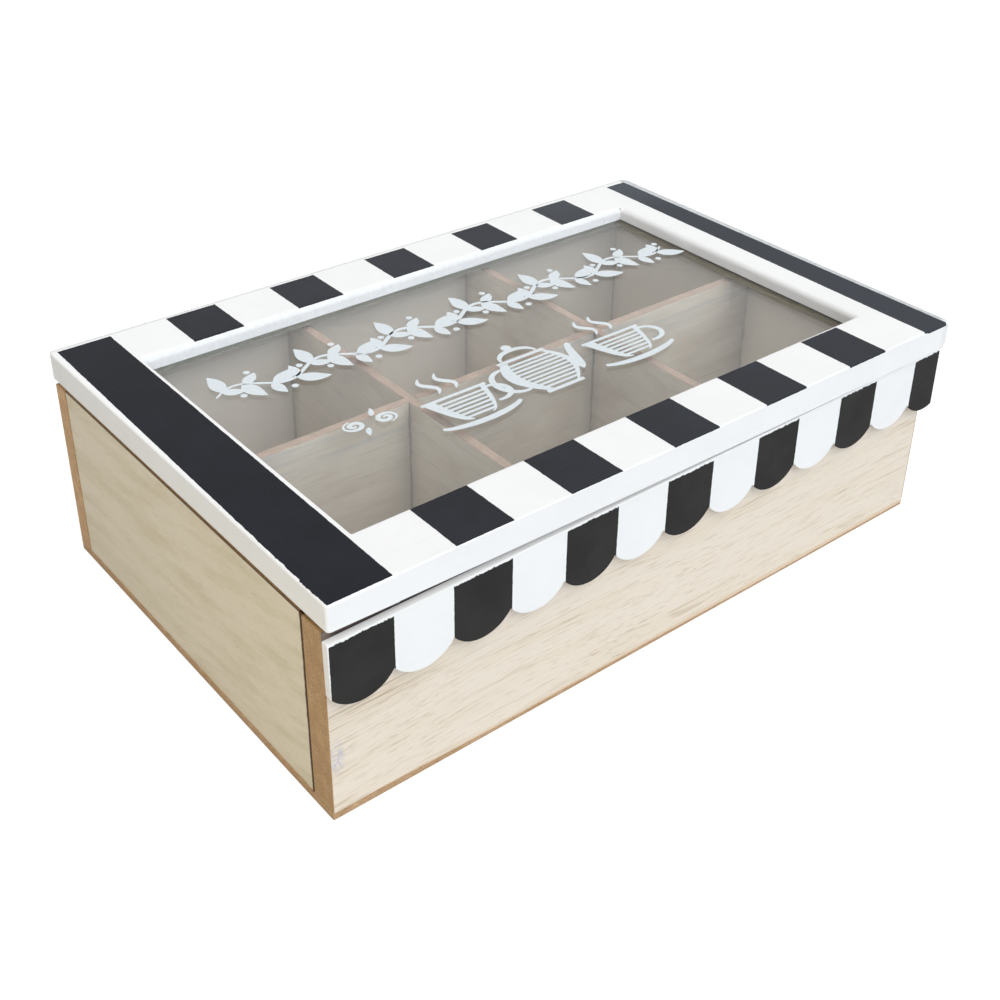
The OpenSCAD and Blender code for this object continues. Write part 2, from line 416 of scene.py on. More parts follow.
def corner_shade_and_crack(
    wiring: Wiring, colour: Input, along: Input, joints: Sequence[float], where: Input = 1.0
) -> Input:
    """Darkens a face where other boards meet it: painted corner shade, with a dark joint crack in
    the middle.

    Args:
        wiring: the material.
        colour: the face's colour.
        along: the place along the face.
        joints: where the other boards meet it.
        where: a mask of the face.

    Returns:
        The darkened colour.
    """
    reach, dark = 6.0 * MM, (0.20, 0.175, 0.145)
    for joint in joints:
        far = wiring.far(along, joint)
        # Painted shade: the soft darkening of the corner beside the joint.
        shade = wiring.rise(far, 0.0, reach, 0.26, 0.0)
        wander = wiring.noise(wiring.place, 210.0, 4.0, 0.7)
        crack = wiring.rise(wiring.lean(wander, 2.4 * MM, far), 1.3 * MM, 2.4 * MM, 0.72, 0.0)
        share = wiring.product(wiring.most(shade, crack), where)
        colour = wiring.mix(share, colour, dark)
    return colour


@dataclass(frozen=True)
class VeneeredBoard:
    """Fibreboard with a thin veneer on its two faces, raw on its edges.

    Attributes:
        name: the material's name.
        grain: the veneer's grain.
        across: the axis through the board's thickness.
        faces: the two faces' places on that axis.
        skin: the thickness of the veneer.
        raw_above: the height over which the top edge is raw.
        raw_beyond: how far from the middle of X the ends are raw.
        smudge: where a blue-grey smudge lies on the outer face, as X and Z, or none.
        smudge_half: half the smudge's size along X and Z.
        smudge_tone: the colour of the smudge.
        seam: the place on the Y axis where a dark joint line lies, or none.
        seam_tone: the colour of the joint line.
        inside_tint: how much greyer the inner face is, from 0 to 1.
        wash: the colour of the inner face.
        gap_shadow_above: the height over which a painted shadow of the gap under the lid darkens
            the outer face.
        gap_shadow_tone: the colour of that painted shadow.
        gap_shadow_fading: between which two heights the painted shadow fades.
        gap_shadow_faded: the colour of the faded painted shadow.
        fibre: the raw fibreboard between the veneers.
        painted_lid_shade: between which two heights a painted shade of the lid darkens the inner
            face upwards, and by how much.
        painted_lid_shade_tone: the colour of that painted shade.
        joints: the places on X or Y at which other boards meet the inner face, where painted
            corner shade and a dark crack lie.
        streaky: where the outer face has darker streaks, as X, Z and the reach along each.
        streak_tone: the colour of those streaks.
    """

    name: str
    grain: Grain
    across: Axis
    faces: tuple[float, float]
    skin: float = 0.45 * MM
    raw_above: float = 63.42 * MM
    raw_beyond: float = 1.0
    smudge: tuple[float, float] | None = None
    smudge_half: tuple[float, float] = (2.6 * MM, 6.5 * MM)
    smudge_tone: Colour = (0.40, 0.42, 0.54)
    seam: float | None = None
    seam_tone: Colour = (0.058, 0.024, 0.006)
    inside_tint: float = 0.8
    wash: Colour = (0.56, 0.54, 0.50)
    gap_shadow_above: float = 1.0
    gap_shadow_tone: Colour = (0.022, 0.012, 0.008)
    gap_shadow_fading: tuple[float, float] = (1.0, 2.0)
    gap_shadow_faded: Colour = (0.20, 0.145, 0.115)
    fibre: Fibre = Fibre()
    painted_lid_shade: tuple[float, float, float] = (0.0, 1.0, 0.0)
    painted_lid_shade_tone: Colour = (0.17, 0.165, 0.135)
    joints: tuple[float, ...] = ()
    streaky: tuple[float, float, float, float] | None = None
    streak_tone: Colour = (0.43, 0.30, 0.18)

    def material(self) -> bpy.types.Material:
        """Wires the material.

        Returns:
            The finished material.
        """
        wiring = Wiring(self.name)
        axes = wiring.split(wiring.place)
        veneer, height = self.grain.wire(wiring)
        veneer = self.washed(wiring, veneer, axes)
        if self.streaky is not None:
            veneer = self.streaked(wiring, veneer, axes)
        if self.smudge is not None:
            veneer = self.smudged(wiring, veneer, axes)
        raw, fuzz = self.fibre.wire(wiring)
        core = self.core(wiring, axes)
        colour = wiring.mix(core, veneer, raw)
        shine: Input = PLAIN_SHINE
        if self.seam is not None:
            gap = self.gap(wiring, axes[1], self.seam)
            colour = wiring.mix(gap, colour, self.seam_tone)
            shine = wiring.lean(gap, 0.02 - PLAIN_SHINE, PLAIN_SHINE)
        colour = self.gap_shadowed(wiring, colour, axes)
        normal = wiring.relief(height, 0.05 * MM)
        normal = wiring.relief(wiring.product(fuzz, core), 0.09 * MM, normal)
        rough = wiring.rise(height, -0.2, 1.0, 0.52, 0.78)
        return wiring.finish(
            Base_Color=colour, Roughness=rough, Normal=normal, Specular_IOR_Level=shine
        )

    def washed(self, wiring: Wiring, colour: Input, axes: Sequence[Input]) -> Input:
        """Greys the inner face, and paints shade on it: softly at its joints, round a dark crack,
        and up under the lid.

        Args:
            wiring: the material that it goes into.
            colour: the colour so far.
            axes: the X, Y and Z of the place.

        Returns:
            The colour.
        """
        at_inner = wiring.rise(
            wiring.far(axes[self.across.value], self.faces[1]),
            0.8 * MM, 1.6 * MM, self.inside_tint, 0.0,
        )
        colour = wiring.mix(at_inner, colour, self.wash)
        # Painted shade: the inner face darkens upwards, where the lid shades it.
        low, high, share = self.painted_lid_shade
        painted_lid_shade = wiring.product(at_inner, wiring.rise(axes[2], low, high, 0.0, share))
        colour = wiring.mix(painted_lid_shade, colour, self.painted_lid_shade_tone)
        return corner_shade_and_crack(wiring, colour, axes[1 - self.across.value], self.joints, at_inner)

    def core(self, wiring: Wiring, axes: Sequence[Input]) -> bpy.types.NodeSocket:
        """The mask of raw fibreboard: between the veneers, on the top edge and on the ends.

        Args:
            wiring: the material that it goes into.
            axes: the X, Y and Z of the place.

        Returns:
            The mask.
        """
        crisp = 0.05 * MM
        low, high = min(self.faces) + self.skin, max(self.faces) - self.skin
        ragged = wiring.lean(wiring.noise(wiring.place, 700.0), 0.2 * MM, -0.1 * MM)
        depth = wiring.total(axes[self.across.value], ragged)
        between = wiring.within(depth, low, high, 0.12 * MM)
        top = wiring.rise(axes[2], self.raw_above, self.raw_above + crisp)
        far = wiring.math("ABSOLUTE", axes[0])
        end = wiring.rise(far, self.raw_beyond, self.raw_beyond + crisp)
        return wiring.most(between, top, end)

    def gap_shadowed(
        self, wiring: Wiring, colour: Input, axes: Sequence[Input]
    ) -> bpy.types.NodeSocket:
        """Paints the shadow of the gap under the lid on the top of the outer face; it fades
        upwards and at the left corner.

        Args:
            wiring: the material that it goes into.
            colour: the colour so far.
            axes: the X, Y and Z of the place.

        Returns:
            The colour.
        """
        at_outer = wiring.far(axes[self.across.value], self.faces[0])
        # Painted shadow of the gap under the lid, along the top of the outer face.
        gap_shadowed = wiring.product(
            wiring.rise(axes[2], self.gap_shadow_above, self.gap_shadow_above + 0.1 * MM),
            wiring.rise(at_outer, 0.1 * MM, 0.3 * MM, 1.0, 0.0),
        )
        gap_shadow_fading = wiring.rise(axes[2], *self.gap_shadow_fading)
        corner = wiring.rise(axes[0], -self.raw_beyond, -self.raw_beyond + 4.0 * MM, 0.8, 0.0)
        tone = wiring.mix(wiring.most(gap_shadow_fading, corner), self.gap_shadow_tone, self.gap_shadow_faded)
        return wiring.mix(gap_shadowed, colour, tone)

    def oval(
        self, wiring: Wiring, axes: Sequence[Input], x: float, z: float, wide: float, high: float
    ) -> bpy.types.NodeSocket:
        """How far a place lies from an oval's middle.

        Args:
            wiring: the material that it goes into.
            axes: the X, Y and Z of the place.
            x: the oval's middle on X.
            z: its middle on Z.
            wide: half its size along X.
            high: half its size along Z.

        Returns:
            The distance squared, where 1 is on the oval.
        """
        far_x = wiring.math("DIVIDE", wiring.math("SUBTRACT", axes[0], x), wide)
        far_z = wiring.math("DIVIDE", wiring.math("SUBTRACT", axes[2], z), high)
        return wiring.total(wiring.product(far_x, far_x), wiring.product(far_z, far_z))

    def streaked(
        self, wiring: Wiring, colour: Input, axes: Sequence[Input]
    ) -> bpy.types.NodeSocket:
        """Lays darker and longer streaks over one part of the outer face.

        Args:
            wiring: the material that it goes into.
            colour: the colour so far.
            axes: the X, Y and Z of the place.

        Returns:
            The colour.
        """
        lines = self.grain.drawn(wiring, 22.0, 1500.0, 3.0, 0.6)
        near = wiring.rise(self.oval(wiring, axes, *self.streaky), 0.0, 1.0, 0.75, 0.0)
        share = wiring.product(near, wiring.rise(lines, 0.50, 0.66))
        return wiring.mix(share, colour, self.streak_tone)

    def smudged(
        self, wiring: Wiring, colour: Input, axes: Sequence[Input]
    ) -> bpy.types.NodeSocket:
        """Lays a faint blue-grey smudge over the colour.

        Args:
            wiring: the material that it goes into.
            colour: the colour so far.
            axes: the X, Y and Z of the place.

        Returns:
            The colour.
        """
        far = self.oval(wiring, axes, *self.smudge, *self.smudge_half)
        blotch = wiring.rise(wiring.noise(wiring.place, 520.0, 4.0, 0.7), 0.42, 0.60, 0.15, 1.0)
        share = wiring.product(wiring.rise(far, 0.0, 1.3, 0.64, 0.0), blotch)
        return wiring.mix(share, colour, self.smudge_tone)

    def gap(self, wiring: Wiring, across: Input, place: float) -> bpy.types.NodeSocket:
        """The mask of a dark joint line at one place along Y.

        Args:
            wiring: the material that it goes into.
            across: the place across the line.
            place: where the line lies.

        Returns:
            The mask.
        """
        wander = wiring.noise(wiring.place, 260.0, 4.0, 0.7)
        far = wiring.lean(wander, 0.9 * MM, wiring.far(across, place))
        return wiring.rise(far, 1.95 * MM, 2.45 * MM, 0.95, 0.0)


@dataclass(frozen=True)
class RawBoard:
    """A thin board with brown sawn edges on top and bottom and washed faces.

    Attributes:
        name: the material's name.
        grain: the grain of the faces.
        edge_above: the height above which the board shows its sawn edge.
        edge: the colour of the sawn edge.
        joints: the places along the grain at which other boards meet its faces, where painted
            corner shade and a dark crack lie.
        blots: the colour of the faint blots on its faces.
        bloom: how strong the blue-grey streaks along the top of its faces are.
        bloom_tone: the colour of those streaks.
        bloom_from: between which two heights they grow strong.
    """

    name: str
    grain: Grain
    edge_above: float = 1.0
    edge: Colour = (0.315, 0.228, 0.178)
    joints: tuple[float, ...] = ()
    blots: Colour = (0.42, 0.355, 0.275)
    bloom: float = 0.0
    bloom_tone: Colour = (0.36, 0.375, 0.375)
    bloom_from: tuple[float, float] = (46.0 * MM, 58.0 * MM)

    def material(self) -> bpy.types.Material:
        """Wires the material.

        Returns:
            The finished material.
        """
        wiring = Wiring(self.name)
        colour, height = self.grain.wire(wiring)
        axes = wiring.split(wiring.place)
        blot = self.grain.drawn(wiring, 26.0, 62.0, 4.0, 0.6)
        colour = wiring.mix(wiring.rise(blot, 0.45, 0.68, 0.0, 0.55), colour, self.blots)
        streaks = self.grain.drawn(wiring, 14.0, 330.0)
        bloom = wiring.product(
            wiring.rise(streaks, 0.50, 0.64, 0.0, self.bloom),
            wiring.rise(axes[2], *self.bloom_from),
        )
        colour = wiring.mix(bloom, colour, self.bloom_tone)
        colour = corner_shade_and_crack(wiring, colour, axes[self.grain.along.value], self.joints)
        edge = Fibre(self.edge, toned(self.edge, 0.66), toned(self.edge, 1.22))
        raw, fuzz = edge.wire(wiring)
        wander = wiring.lean(wiring.noise(wiring.place, 300.0), 0.5 * MM, axes[2])
        share = wiring.rise(wander, self.edge_above, self.edge_above + 0.25 * MM)
        colour = wiring.mix(share, colour, raw)
        normal = wiring.relief(wiring.total(height, fuzz), 0.06 * MM)
        return wiring.finish(Base_Color=colour, Roughness=0.74, Normal=normal)


@dataclass(frozen=True)
class FibreBoard:
    """Plain fibreboard, brown all over.

    Attributes:
        name: the material's name.
        fibre: its colours.
        washed: the place on Y of a face whose upper part the wash has run over, or none.
        wash_tone: the colour of that wash.
        wash_left: the height that it runs down to at the left end, and 60 mm further right.
        wash_fall: how much lower than that it runs at the right.
        bare: whether pale blots show.
        blots: the colour of the blots.
    """

    name: str
    fibre: Fibre = Fibre()
    washed: float | None = None
    wash_tone: Colour = (0.78, 0.65, 0.50)
    wash_left: tuple[float, float] = (2.7 * MM, 1.45 * MM)
    wash_fall: float = 0.5 * MM
    bare: bool = True
    blots: Colour = (0.68, 0.48, 0.33)

    def material(self) -> bpy.types.Material:
        """Wires the material.

        Returns:
            The finished material.
        """
        wiring = Wiring(self.name)
        colour, height = self.fibre.wire(wiring)
        if self.bare:
            blot = wiring.rise(wiring.noise(wiring.place, 38.0, 3.0), 0.45, 0.75, 0.0, 0.25)
            colour = wiring.mix(blot, colour, self.blots)
        if self.washed is not None:
            x, y, z = wiring.split(wiring.place)
            limit = wiring.total(
                wiring.rise(x, -120.0 * MM, -60.0 * MM, *self.wash_left),
                wiring.rise(x, -60.0 * MM, 60.0 * MM, 0.0, -self.wash_fall),
            )
            over = wiring.lean(wiring.noise(wiring.place, 160.0), 0.6 * MM, z)
            over = wiring.math("SUBTRACT", over, limit)
            over = wiring.rise(over, 0.1 * MM, 0.7 * MM, 0.0, 0.78)
            face = wiring.rise(y, self.washed + 0.3 * MM, self.washed + 0.6 * MM, 1.0, 0.0)
            colour = wiring.mix(wiring.product(over, face), colour, self.wash_tone)
        normal = wiring.relief(height, 0.10 * MM)
        return wiring.finish(Base_Color=colour, Roughness=0.82, Normal=normal)


@dataclass(frozen=True)
class Paint:
    """Two satin paints, brushed on wood.

    Attributes:
        white: the white paint.
        yellowed: the white paint along the wood's streaks.
        grey: the white paint where painted shade greys it.
        black: the black paint.
        sheen_black: the black paint lightened by a painted sheen.
        dust: the specks in the black paint.
        rag: how far the edge between the paints wanders.
        shine: how strongly they mirror, where 0.5 is plain gloss.
    """

    white: Colour = (0.89, 0.89, 0.885)
    yellowed: Colour = (0.80, 0.785, 0.75)
    grey: Colour = (0.33, 0.36, 0.38)
    black: Colour = (0.0105, 0.0120, 0.0165)
    sheen_black: Colour = (0.060, 0.069, 0.083)
    dust: Colour = (0.45, 0.46, 0.48)
    rag: float = 0.35 * MM
    shine: float = 0.17

    def ragged(self, wiring: Wiring) -> bpy.types.NodeSocket:
        """Shakes the place a little so that painted edges wander.

        Args:
            wiring: the material that it goes into.

        Returns:
            The shaken place.
        """
        shake = wiring.add(
            "ShaderNodeTexNoise", {"Vector": wiring.place, "Scale": 700.0, "Detail": 3.0}
        ).outputs["Color"]
        shake = wiring.vector("SUBTRACT", shake, (0.5, 0.5, 0.5))
        shake = wiring.vector("MULTIPLY", shake, (self.rag, self.rag, self.rag * 0.4))
        return wiring.vector("ADD", wiring.place, shake)

    def coat(
        self, wiring: Wiring, black: Input, along: Axis, dull: Input = 0.0, sheen: Input = 0.0
    ) -> bpy.types.Material:
        """Ends a painted material.

        Args:
            wiring: the material.
            black: the mask of the black paint.
            along: the way the wood under the paint runs.
            dull: how far painted shade greys the white paint.
            sheen: how far a painted sheen lightens the black paint.

        Returns:
            The material.
        """
        grain = Grain(self.white, self.white, self.white, along)
        under = grain.drawn(wiring, 40.0, 1500.0)
        cloud = wiring.noise(wiring.place, 60.0, 3.0)
        dab = wiring.noise(wiring.place, 2600.0, 2.0)
        dusty = wiring.rise(wiring.noise(wiring.place, 900.0, 4.0, 0.75), 0.73, 0.76)
        faint = wiring.rise(cloud, 0.35, 0.7, 0.0, 0.5)
        white = wiring.mix(faint, self.white, toned(self.white, 0.955))
        white = wiring.mix(wiring.rise(under, 0.55, 0.8, 0.0, 0.30), white, self.yellowed)
        patchy = wiring.rise(wiring.noise(wiring.place, 620.0, 3.0), 0.35, 0.65, 0.7, 1.0)
        # Painted shade: the white turns grey where dull is high.
        white = wiring.mix(wiring.product(dull, patchy), white, self.grey)
        dark = wiring.mix(wiring.rise(cloud, 0.35, 0.7), self.black, toned(self.black, 1.3))
        # Painted sheen lightens the black paint here.
        dark = wiring.mix(sheen, dark, self.sheen_black)
        dark = wiring.mix(wiring.product(dusty, 0.5), dark, self.dust)
        colour = wiring.mix(black, white, dark)
        normal = wiring.relief(under, 0.05 * MM)
        normal = wiring.relief(wiring.total(dab, black), 0.03 * MM, normal)
        rough = wiring.rise(dab, 0.3, 0.7, 0.50, 0.62)
        return wiring.finish(
            Base_Color=colour, Roughness=rough, Normal=normal, Specular_IOR_Level=self.shine
        )


@dataclass(frozen=True)
class PaintedSheen:
    """A part of the lid where a painted sheen lightens the black paint.

    Attributes:
        x: the limits between which the painted sheen grows to its full strength along X.
        strength: how strong the painted sheen is past them, from 0 to 1.
        y: the limits along Y likewise, or none.
    """

    x: tuple[float, float]
    strength: float
    y: tuple[float, float] | None = None

    def mask(self, wiring: Wiring) -> bpy.types.NodeSocket:
        """How strong the painted sheen is at a place.

        Args:
            wiring: the material that it goes into.

        Returns:
            The mask.
        """
        x, y, _ = wiring.split(wiring.place)
        if self.y is None:
            return wiring.rise(x, *self.x, 0.0, self.strength)
        return wiring.product(wiring.rise(x, *self.x), wiring.rise(y, *self.y, 0.0, self.strength))


@dataclass(frozen=True)
class StripedLid:
    """The lid's paint: a black band on each stile and black squares on the rails.

    The limits were painted by hand, so they drift a little along the lid; each drift is
    given for each metre from the middle of the lid.

    Attributes:
        paint: the two paints.
        band_black_shaded: the black paint of the bands on the stiles, made darker than on the
            rails as painted shade.
        band_shine: how strongly the stiles mirror.
        middle: the middle of the first black square on X.
        pitch: from the middle of one black square to the next.
        half: half the width of a square.
        shrink: how much half the width shrinks for each metre of X and of Y.
        squares: how many squares each rail has.
        top: the height of the lid's top.
        left: the limits of the left band on X.
        left_lean: how far the left band's edges drift for each metre of Y.
        right: the limits of the right band on X.
        right_lean: how far the right band's edges drift for each metre of Y.
        front: where the black begins on Y, at the left and from the middle on.
        corner: how much further forward the right band begins.
        window: where the front squares end on Y.
        window_lean: how far that limit drifts for each metre of X.
        back: the limits of the back squares on Y.
        back_lean: how far the back squares' edges drift for each metre of X.
        end: where both bands end on Y.
        end_lean: how far that end drifts for each metre of X.
        roll: how far forward a point of the rounded front edge counts for its depth.
        jag: how far the left band's outer edge wanders near the front.
        shaded_window_edge: from which Y back to the back rail's window edge painted shade greys
            its white.
        shaded_outer_edges: where painted shade greys the back and right outer edges, on Y and on
            X.
        sheen_patches: the parts where a painted sheen lightens the black.
    """

    paint: Paint = Paint()
    band_black_shaded: Colour = (0.0075, 0.0088, 0.0130)
    band_shine: float = 0.13
    middle: float = -71.40 * MM
    pitch: float = 38.36 * MM
    half: float = 8.92 * MM
    shrink: tuple[float, float] = (0.0040, 0.0037)
    squares: int = 5
    top: float = 73.4 * MM
    left: tuple[float, float] = (-118.5 * MM, -100.03 * MM)
    left_lean: tuple[float, float] = (0.0129, 0.0033)
    right: tuple[float, float] = (112.07 * MM, 122.62 * MM)
    right_lean: tuple[float, float] = (0.0092, -0.0062)
    front: tuple[float, float] = (-79.70 * MM, -80.62 * MM)
    corner: float = 0.9 * MM
    window: float = -58.45 * MM
    window_lean: float = -0.012
    back: tuple[float, float] = (59.08 * MM, 78.15 * MM)
    back_lean: tuple[float, float] = (0.0033, -0.0060)
    end: float = 77.85 * MM
    end_lean: float = -0.0040
    roll: float = 1.05
    jag: float = 1.3 * MM
    shaded_window_edge: float = 59.6 * MM
    shaded_outer_edges: tuple[float, float] = (78.2 * MM, 121.2 * MM)
    # Painted sheen: the black is lightened towards the back and on the right stile, where its
    # reflection shows.
    sheen_patches: tuple[PaintedSheen, ...] = (
        PaintedSheen((-75.0 * MM, 30.0 * MM), 0.13),
        PaintedSheen((100.0 * MM, 112.0 * MM), 0.36),
        PaintedSheen((50.0 * MM, 85.0 * MM), 0.45, (40.0 * MM, 75.0 * MM)),
        PaintedSheen((-75.0 * MM, -35.0 * MM), 0.07, (0.0, 60.0 * MM)),
    )

    def material(self, along: Axis) -> bpy.types.Material:
        """The finished material of a member.

        Args:
            along: the way the member runs.

        Returns:
            The material.
        """
        wiring = Wiring(f"striped_paint_{along.name.lower()}")
        x, y, _ = wiring.split(self.paint.ragged(wiring))
        depth = wiring.math("SUBTRACT", self.top, wiring.split(wiring.place)[2])
        black = wiring.product(
            wiring.most(self.squared(wiring, x, y), self.banded(wiring, x, y)),
            self.behind_front(wiring, y, depth),
            wiring.rise(depth, 1.1 * MM, 1.2 * MM, 1.0, 0.0),
        )
        paint = self.paint
        # The stiles take a darker copy of the same black: painted shade.
        if along is Axis.Y:
            paint = replace(paint, black=self.band_black_shaded, shine=self.band_shine)
        sheen = wiring.total(*(part.mask(wiring) for part in self.sheen_patches))
        return paint.coat(wiring, black, along, self.painted_edge_shade(wiring, along), sheen)

    def squared(self, wiring: Wiring, x: Input, y: Input) -> bpy.types.NodeSocket:
        """The mask of the squares on the front and back rails.

        The place is numbered from square to square along X. A square covers the places whose
        distance from the nearest whole number is under half its width.

        Args:
            wiring: the material that it goes into.
            x: the shaken place on X.
            y: the shaken place on Y.

        Returns:
            The mask.
        """
        turn = wiring.math("DIVIDE", wiring.math("SUBTRACT", x, self.middle), self.pitch)
        nearest = wiring.math("ROUND", turn)
        off = wiring.product(wiring.far(turn, nearest), self.pitch)
        half = wiring.lean(x, -self.shrink[0], wiring.lean(y, -self.shrink[1], self.half))
        counted = wiring.within(nearest, -0.5, self.squares - 0.5, 0.1)
        back = wiring.product(
            wiring.past(y, wiring.lean(x, self.back_lean[0], self.back[0])),
            wiring.past(wiring.lean(x, self.back_lean[1], self.back[1]), y),
        )
        ahead = wiring.past(wiring.lean(x, self.window_lean, self.window), y)
        return wiring.product(wiring.past(half, off), counted, wiring.most(ahead, back))

    def banded(self, wiring: Wiring, x: Input, y: Input) -> bpy.types.NodeSocket:
        """The mask of the bands on the left and right stiles.

        Args:
            wiring: the material that it goes into.
            x: the shaken place on X.
            y: the shaken place on Y.

        Returns:
            The mask.
        """
        wander = wiring.math("SUBTRACT", wiring.noise(wiring.place, 330.0, 4.0, 0.65), 0.5)
        jag = wiring.product(wander, wiring.rise(y, -76.0 * MM, 0.0, self.jag, 0.0))
        left = wiring.product(
            wiring.past(wiring.total(x, jag), wiring.lean(y, self.left_lean[0], self.left[0])),
            wiring.past(wiring.lean(y, self.left_lean[1], self.left[1]), x),
        )
        right = wiring.product(
            wiring.past(x, wiring.lean(y, self.right_lean[0], self.right[0])),
            wiring.past(wiring.lean(y, self.right_lean[1], self.right[1]), x),
        )
        before_end = wiring.past(wiring.lean(x, self.end_lean, self.end), y)
        return wiring.product(wiring.most(left, right), before_end)

    def behind_front(self, wiring: Wiring, y: Input, depth: Input) -> bpy.types.NodeSocket:
        """The mask of what lies behind the front limit of the black.

        Args:
            wiring: the material that it goes into.
            y: the shaken place on Y.
            depth: how far a point lies under the lid's top.

        Returns:
            The mask.
        """
        flat_x = wiring.split(wiring.place)[0]
        front = wiring.math(
            "SUBTRACT", wiring.rise(flat_x, -110.0 * MM, 60.0 * MM, *self.front),
            wiring.rise(flat_x, 111.6 * MM, 115.0 * MM, 0.0, self.corner),
        )
        return wiring.past(wiring.lean(depth, -self.roll, y), front)

    def painted_edge_shade(self, wiring: Wiring, along: Axis) -> bpy.types.NodeSocket:
        """How far painted shade greys the white paint: at the back, and at one more edge of each
        member.

        Args:
            wiring: the material that it goes into.
            along: the way the member runs.

        Returns:
            The mask.
        """
        x, y, _ = wiring.split(wiring.place)
        back, right = self.shaded_outer_edges
        # Painted shade on the back edge, the back rail's window face and the right stile's outer
        # edge.
        edge = wiring.rise(y, back, back + 2.2 * MM, 0.0, 0.50)
        if along is Axis.X:
            window = wiring.rise(y, self.shaded_window_edge - 1.2 * MM, self.shaded_window_edge, 0.26, 0.0)
            return wiring.most(edge, wiring.product(window, wiring.rise(y, 0.0, 1.0 * MM)))
        side = wiring.rise(x, right, right + 0.8 * MM, 0.0, 0.65)
        corner = wiring.rise(y, -79.4 * MM, -76.5 * MM, 0.25, 1.0)
        return wiring.most(edge, wiring.product(side, corner))


@dataclass(frozen=True)
class AwningPaint:
    """The awning's paint: its tongues are black and white in turn.

    Attributes:
        paint: the two paints.
        left: where the first tongue begins on X.
        middle: the middle of the first black tongue on X.
        pitch: from the middle of one black tongue to the next.
        half: half the width of the black.
        shrink: how much half the width shrinks for each metre of X.
        margin: how far the first black tongue stops short of the end.
        bow: how quickly the tongues narrow to the right, for each metre.
        front: the awning's front face on Y.
        lip: the height at which the black stops at the middle of the length, plus half of
            how far it wanders.
        climb: how far that height rises for each metre of X.
        wander: how far that height wanders.
    """

    paint: Paint = Paint(black=(0.0250, 0.0250, 0.0237), rag=0.30 * MM, shine=0.05)
    left: float = -120.0 * MM
    middle: float = -109.76 * MM
    pitch: float = 38.177 * MM
    half: float = 9.30 * MM
    shrink: float = 0.0049
    margin: float = 0.33 * MM
    bow: float = 0.0413
    front: float = -79.4 * MM
    lip: float = 62.38 * MM
    climb: float = 0.0094
    wander: float = 1.9 * MM

    def material(self) -> bpy.types.Material:
        """Wires the material.

        Returns:
            The finished material.
        """
        wiring = Wiring("awning_paint")
        x, _, _ = wiring.split(self.paint.ragged(wiring))
        plain = wiring.split(wiring.place)
        bowed = wiring.lean(wiring.product(x, x), self.bow, x)
        turn = wiring.math("DIVIDE", wiring.math("SUBTRACT", bowed, self.middle), self.pitch)
        off = wiring.math("SUBTRACT", turn, wiring.math("ROUND", turn))
        off = wiring.product(wiring.math("ABSOLUTE", off), self.pitch)
        off = wiring.lean(x, self.shrink, off)
        start = self.left + self.margin
        height = wiring.lean(wiring.noise(wiring.place, 900.0, 4.0, 0.7), self.wander, plain[2])
        height = wiring.lean(plain[0], -self.climb, height)
        black = wiring.product(
            wiring.rise(off, self.half, self.half + 0.1 * MM, 1.0, 0.0),
            wiring.rise(x, start, start + 0.1 * MM),
            wiring.rise(height, self.lip, self.lip + 0.12 * MM, 1.0, 0.0),
            wiring.rise(plain[1], self.front + 0.4 * MM, self.front + 0.6 * MM, 1.0, 0.0),
        )
        return self.paint.coat(wiring, black, Axis.X)


@dataclass(frozen=True)
class Metal:
    """Plated or drawn metal with fine scratches and a little tarnish.

    Attributes:
        name: the material's name.
        bright: its clean colour.
        dull: its tarnished colour.
        roughness: its roughness where clean.
        scratches: how many scratches a metre holds along X, Y and Z.
    """

    name: str
    bright: Colour
    dull: Colour
    roughness: float = 0.28
    scratches: tuple[float, float, float] = (260.0, 4200.0, 4200.0)

    def material(self) -> bpy.types.Material:
        """Wires the material.

        Returns:
            The finished material.
        """
        wiring = Wiring(self.name)
        scratch = wiring.noise(wiring.vector("MULTIPLY", wiring.place, self.scratches), 1.0)
        cloud = wiring.noise(wiring.place, 420.0, 3.0)
        colour = wiring.mix(wiring.rise(cloud, 0.45, 0.75), self.bright, self.dull)
        rough = wiring.rise(scratch, 0.3, 0.8, self.roughness, self.roughness + 0.22)
        normal = wiring.relief(scratch, 0.012 * MM)
        return wiring.finish(Base_Color=colour, Metallic=1.0, Roughness=rough, Normal=normal)


@dataclass(frozen=True)
class WindowGlass:
    """Clear float glass that lets the lamps through, with a little dust on it.

    Attributes:
        tint: the colour of what passes through.
        dust: the colour of the dust.
        ior: its index of refraction.
    """

    tint: Colour = (0.985, 0.99, 0.985)
    dust: Colour = (0.8, 0.8, 0.78)
    ior: float = 1.45

    def material(self) -> bpy.types.Material:
        """Wires the material.

        Returns:
            The finished material.
        """
        wiring = Wiring("window_glass")
        dust = wiring.rise(wiring.noise(wiring.place, 1500.0, 4.0, 0.8), 0.72, 0.78, 0.0, 0.35)
        wave = wiring.relief(wiring.noise(wiring.place, 14.0, 1.0), 0.02 * MM)
        glass = wiring.add(
            "ShaderNodeBsdfPrincipled",
            {
                "Base Color": self.tint,
                "Roughness": 0.0,
                "IOR": self.ior,
                "Transmission Weight": 1.0,
                "Normal": wave,
            },
        ).outputs[0]
        dusty = wiring.blend(dust, glass, wiring.diffuse(self.dust))
        clear = wiring.add("ShaderNodeBsdfTransparent", {"Color": self.tint}).outputs[0]
        shadow = wiring.add("ShaderNodeLightPath").outputs["Is Shadow Ray"]
        return wiring.end(wiring.blend(shadow, dusty, clear))


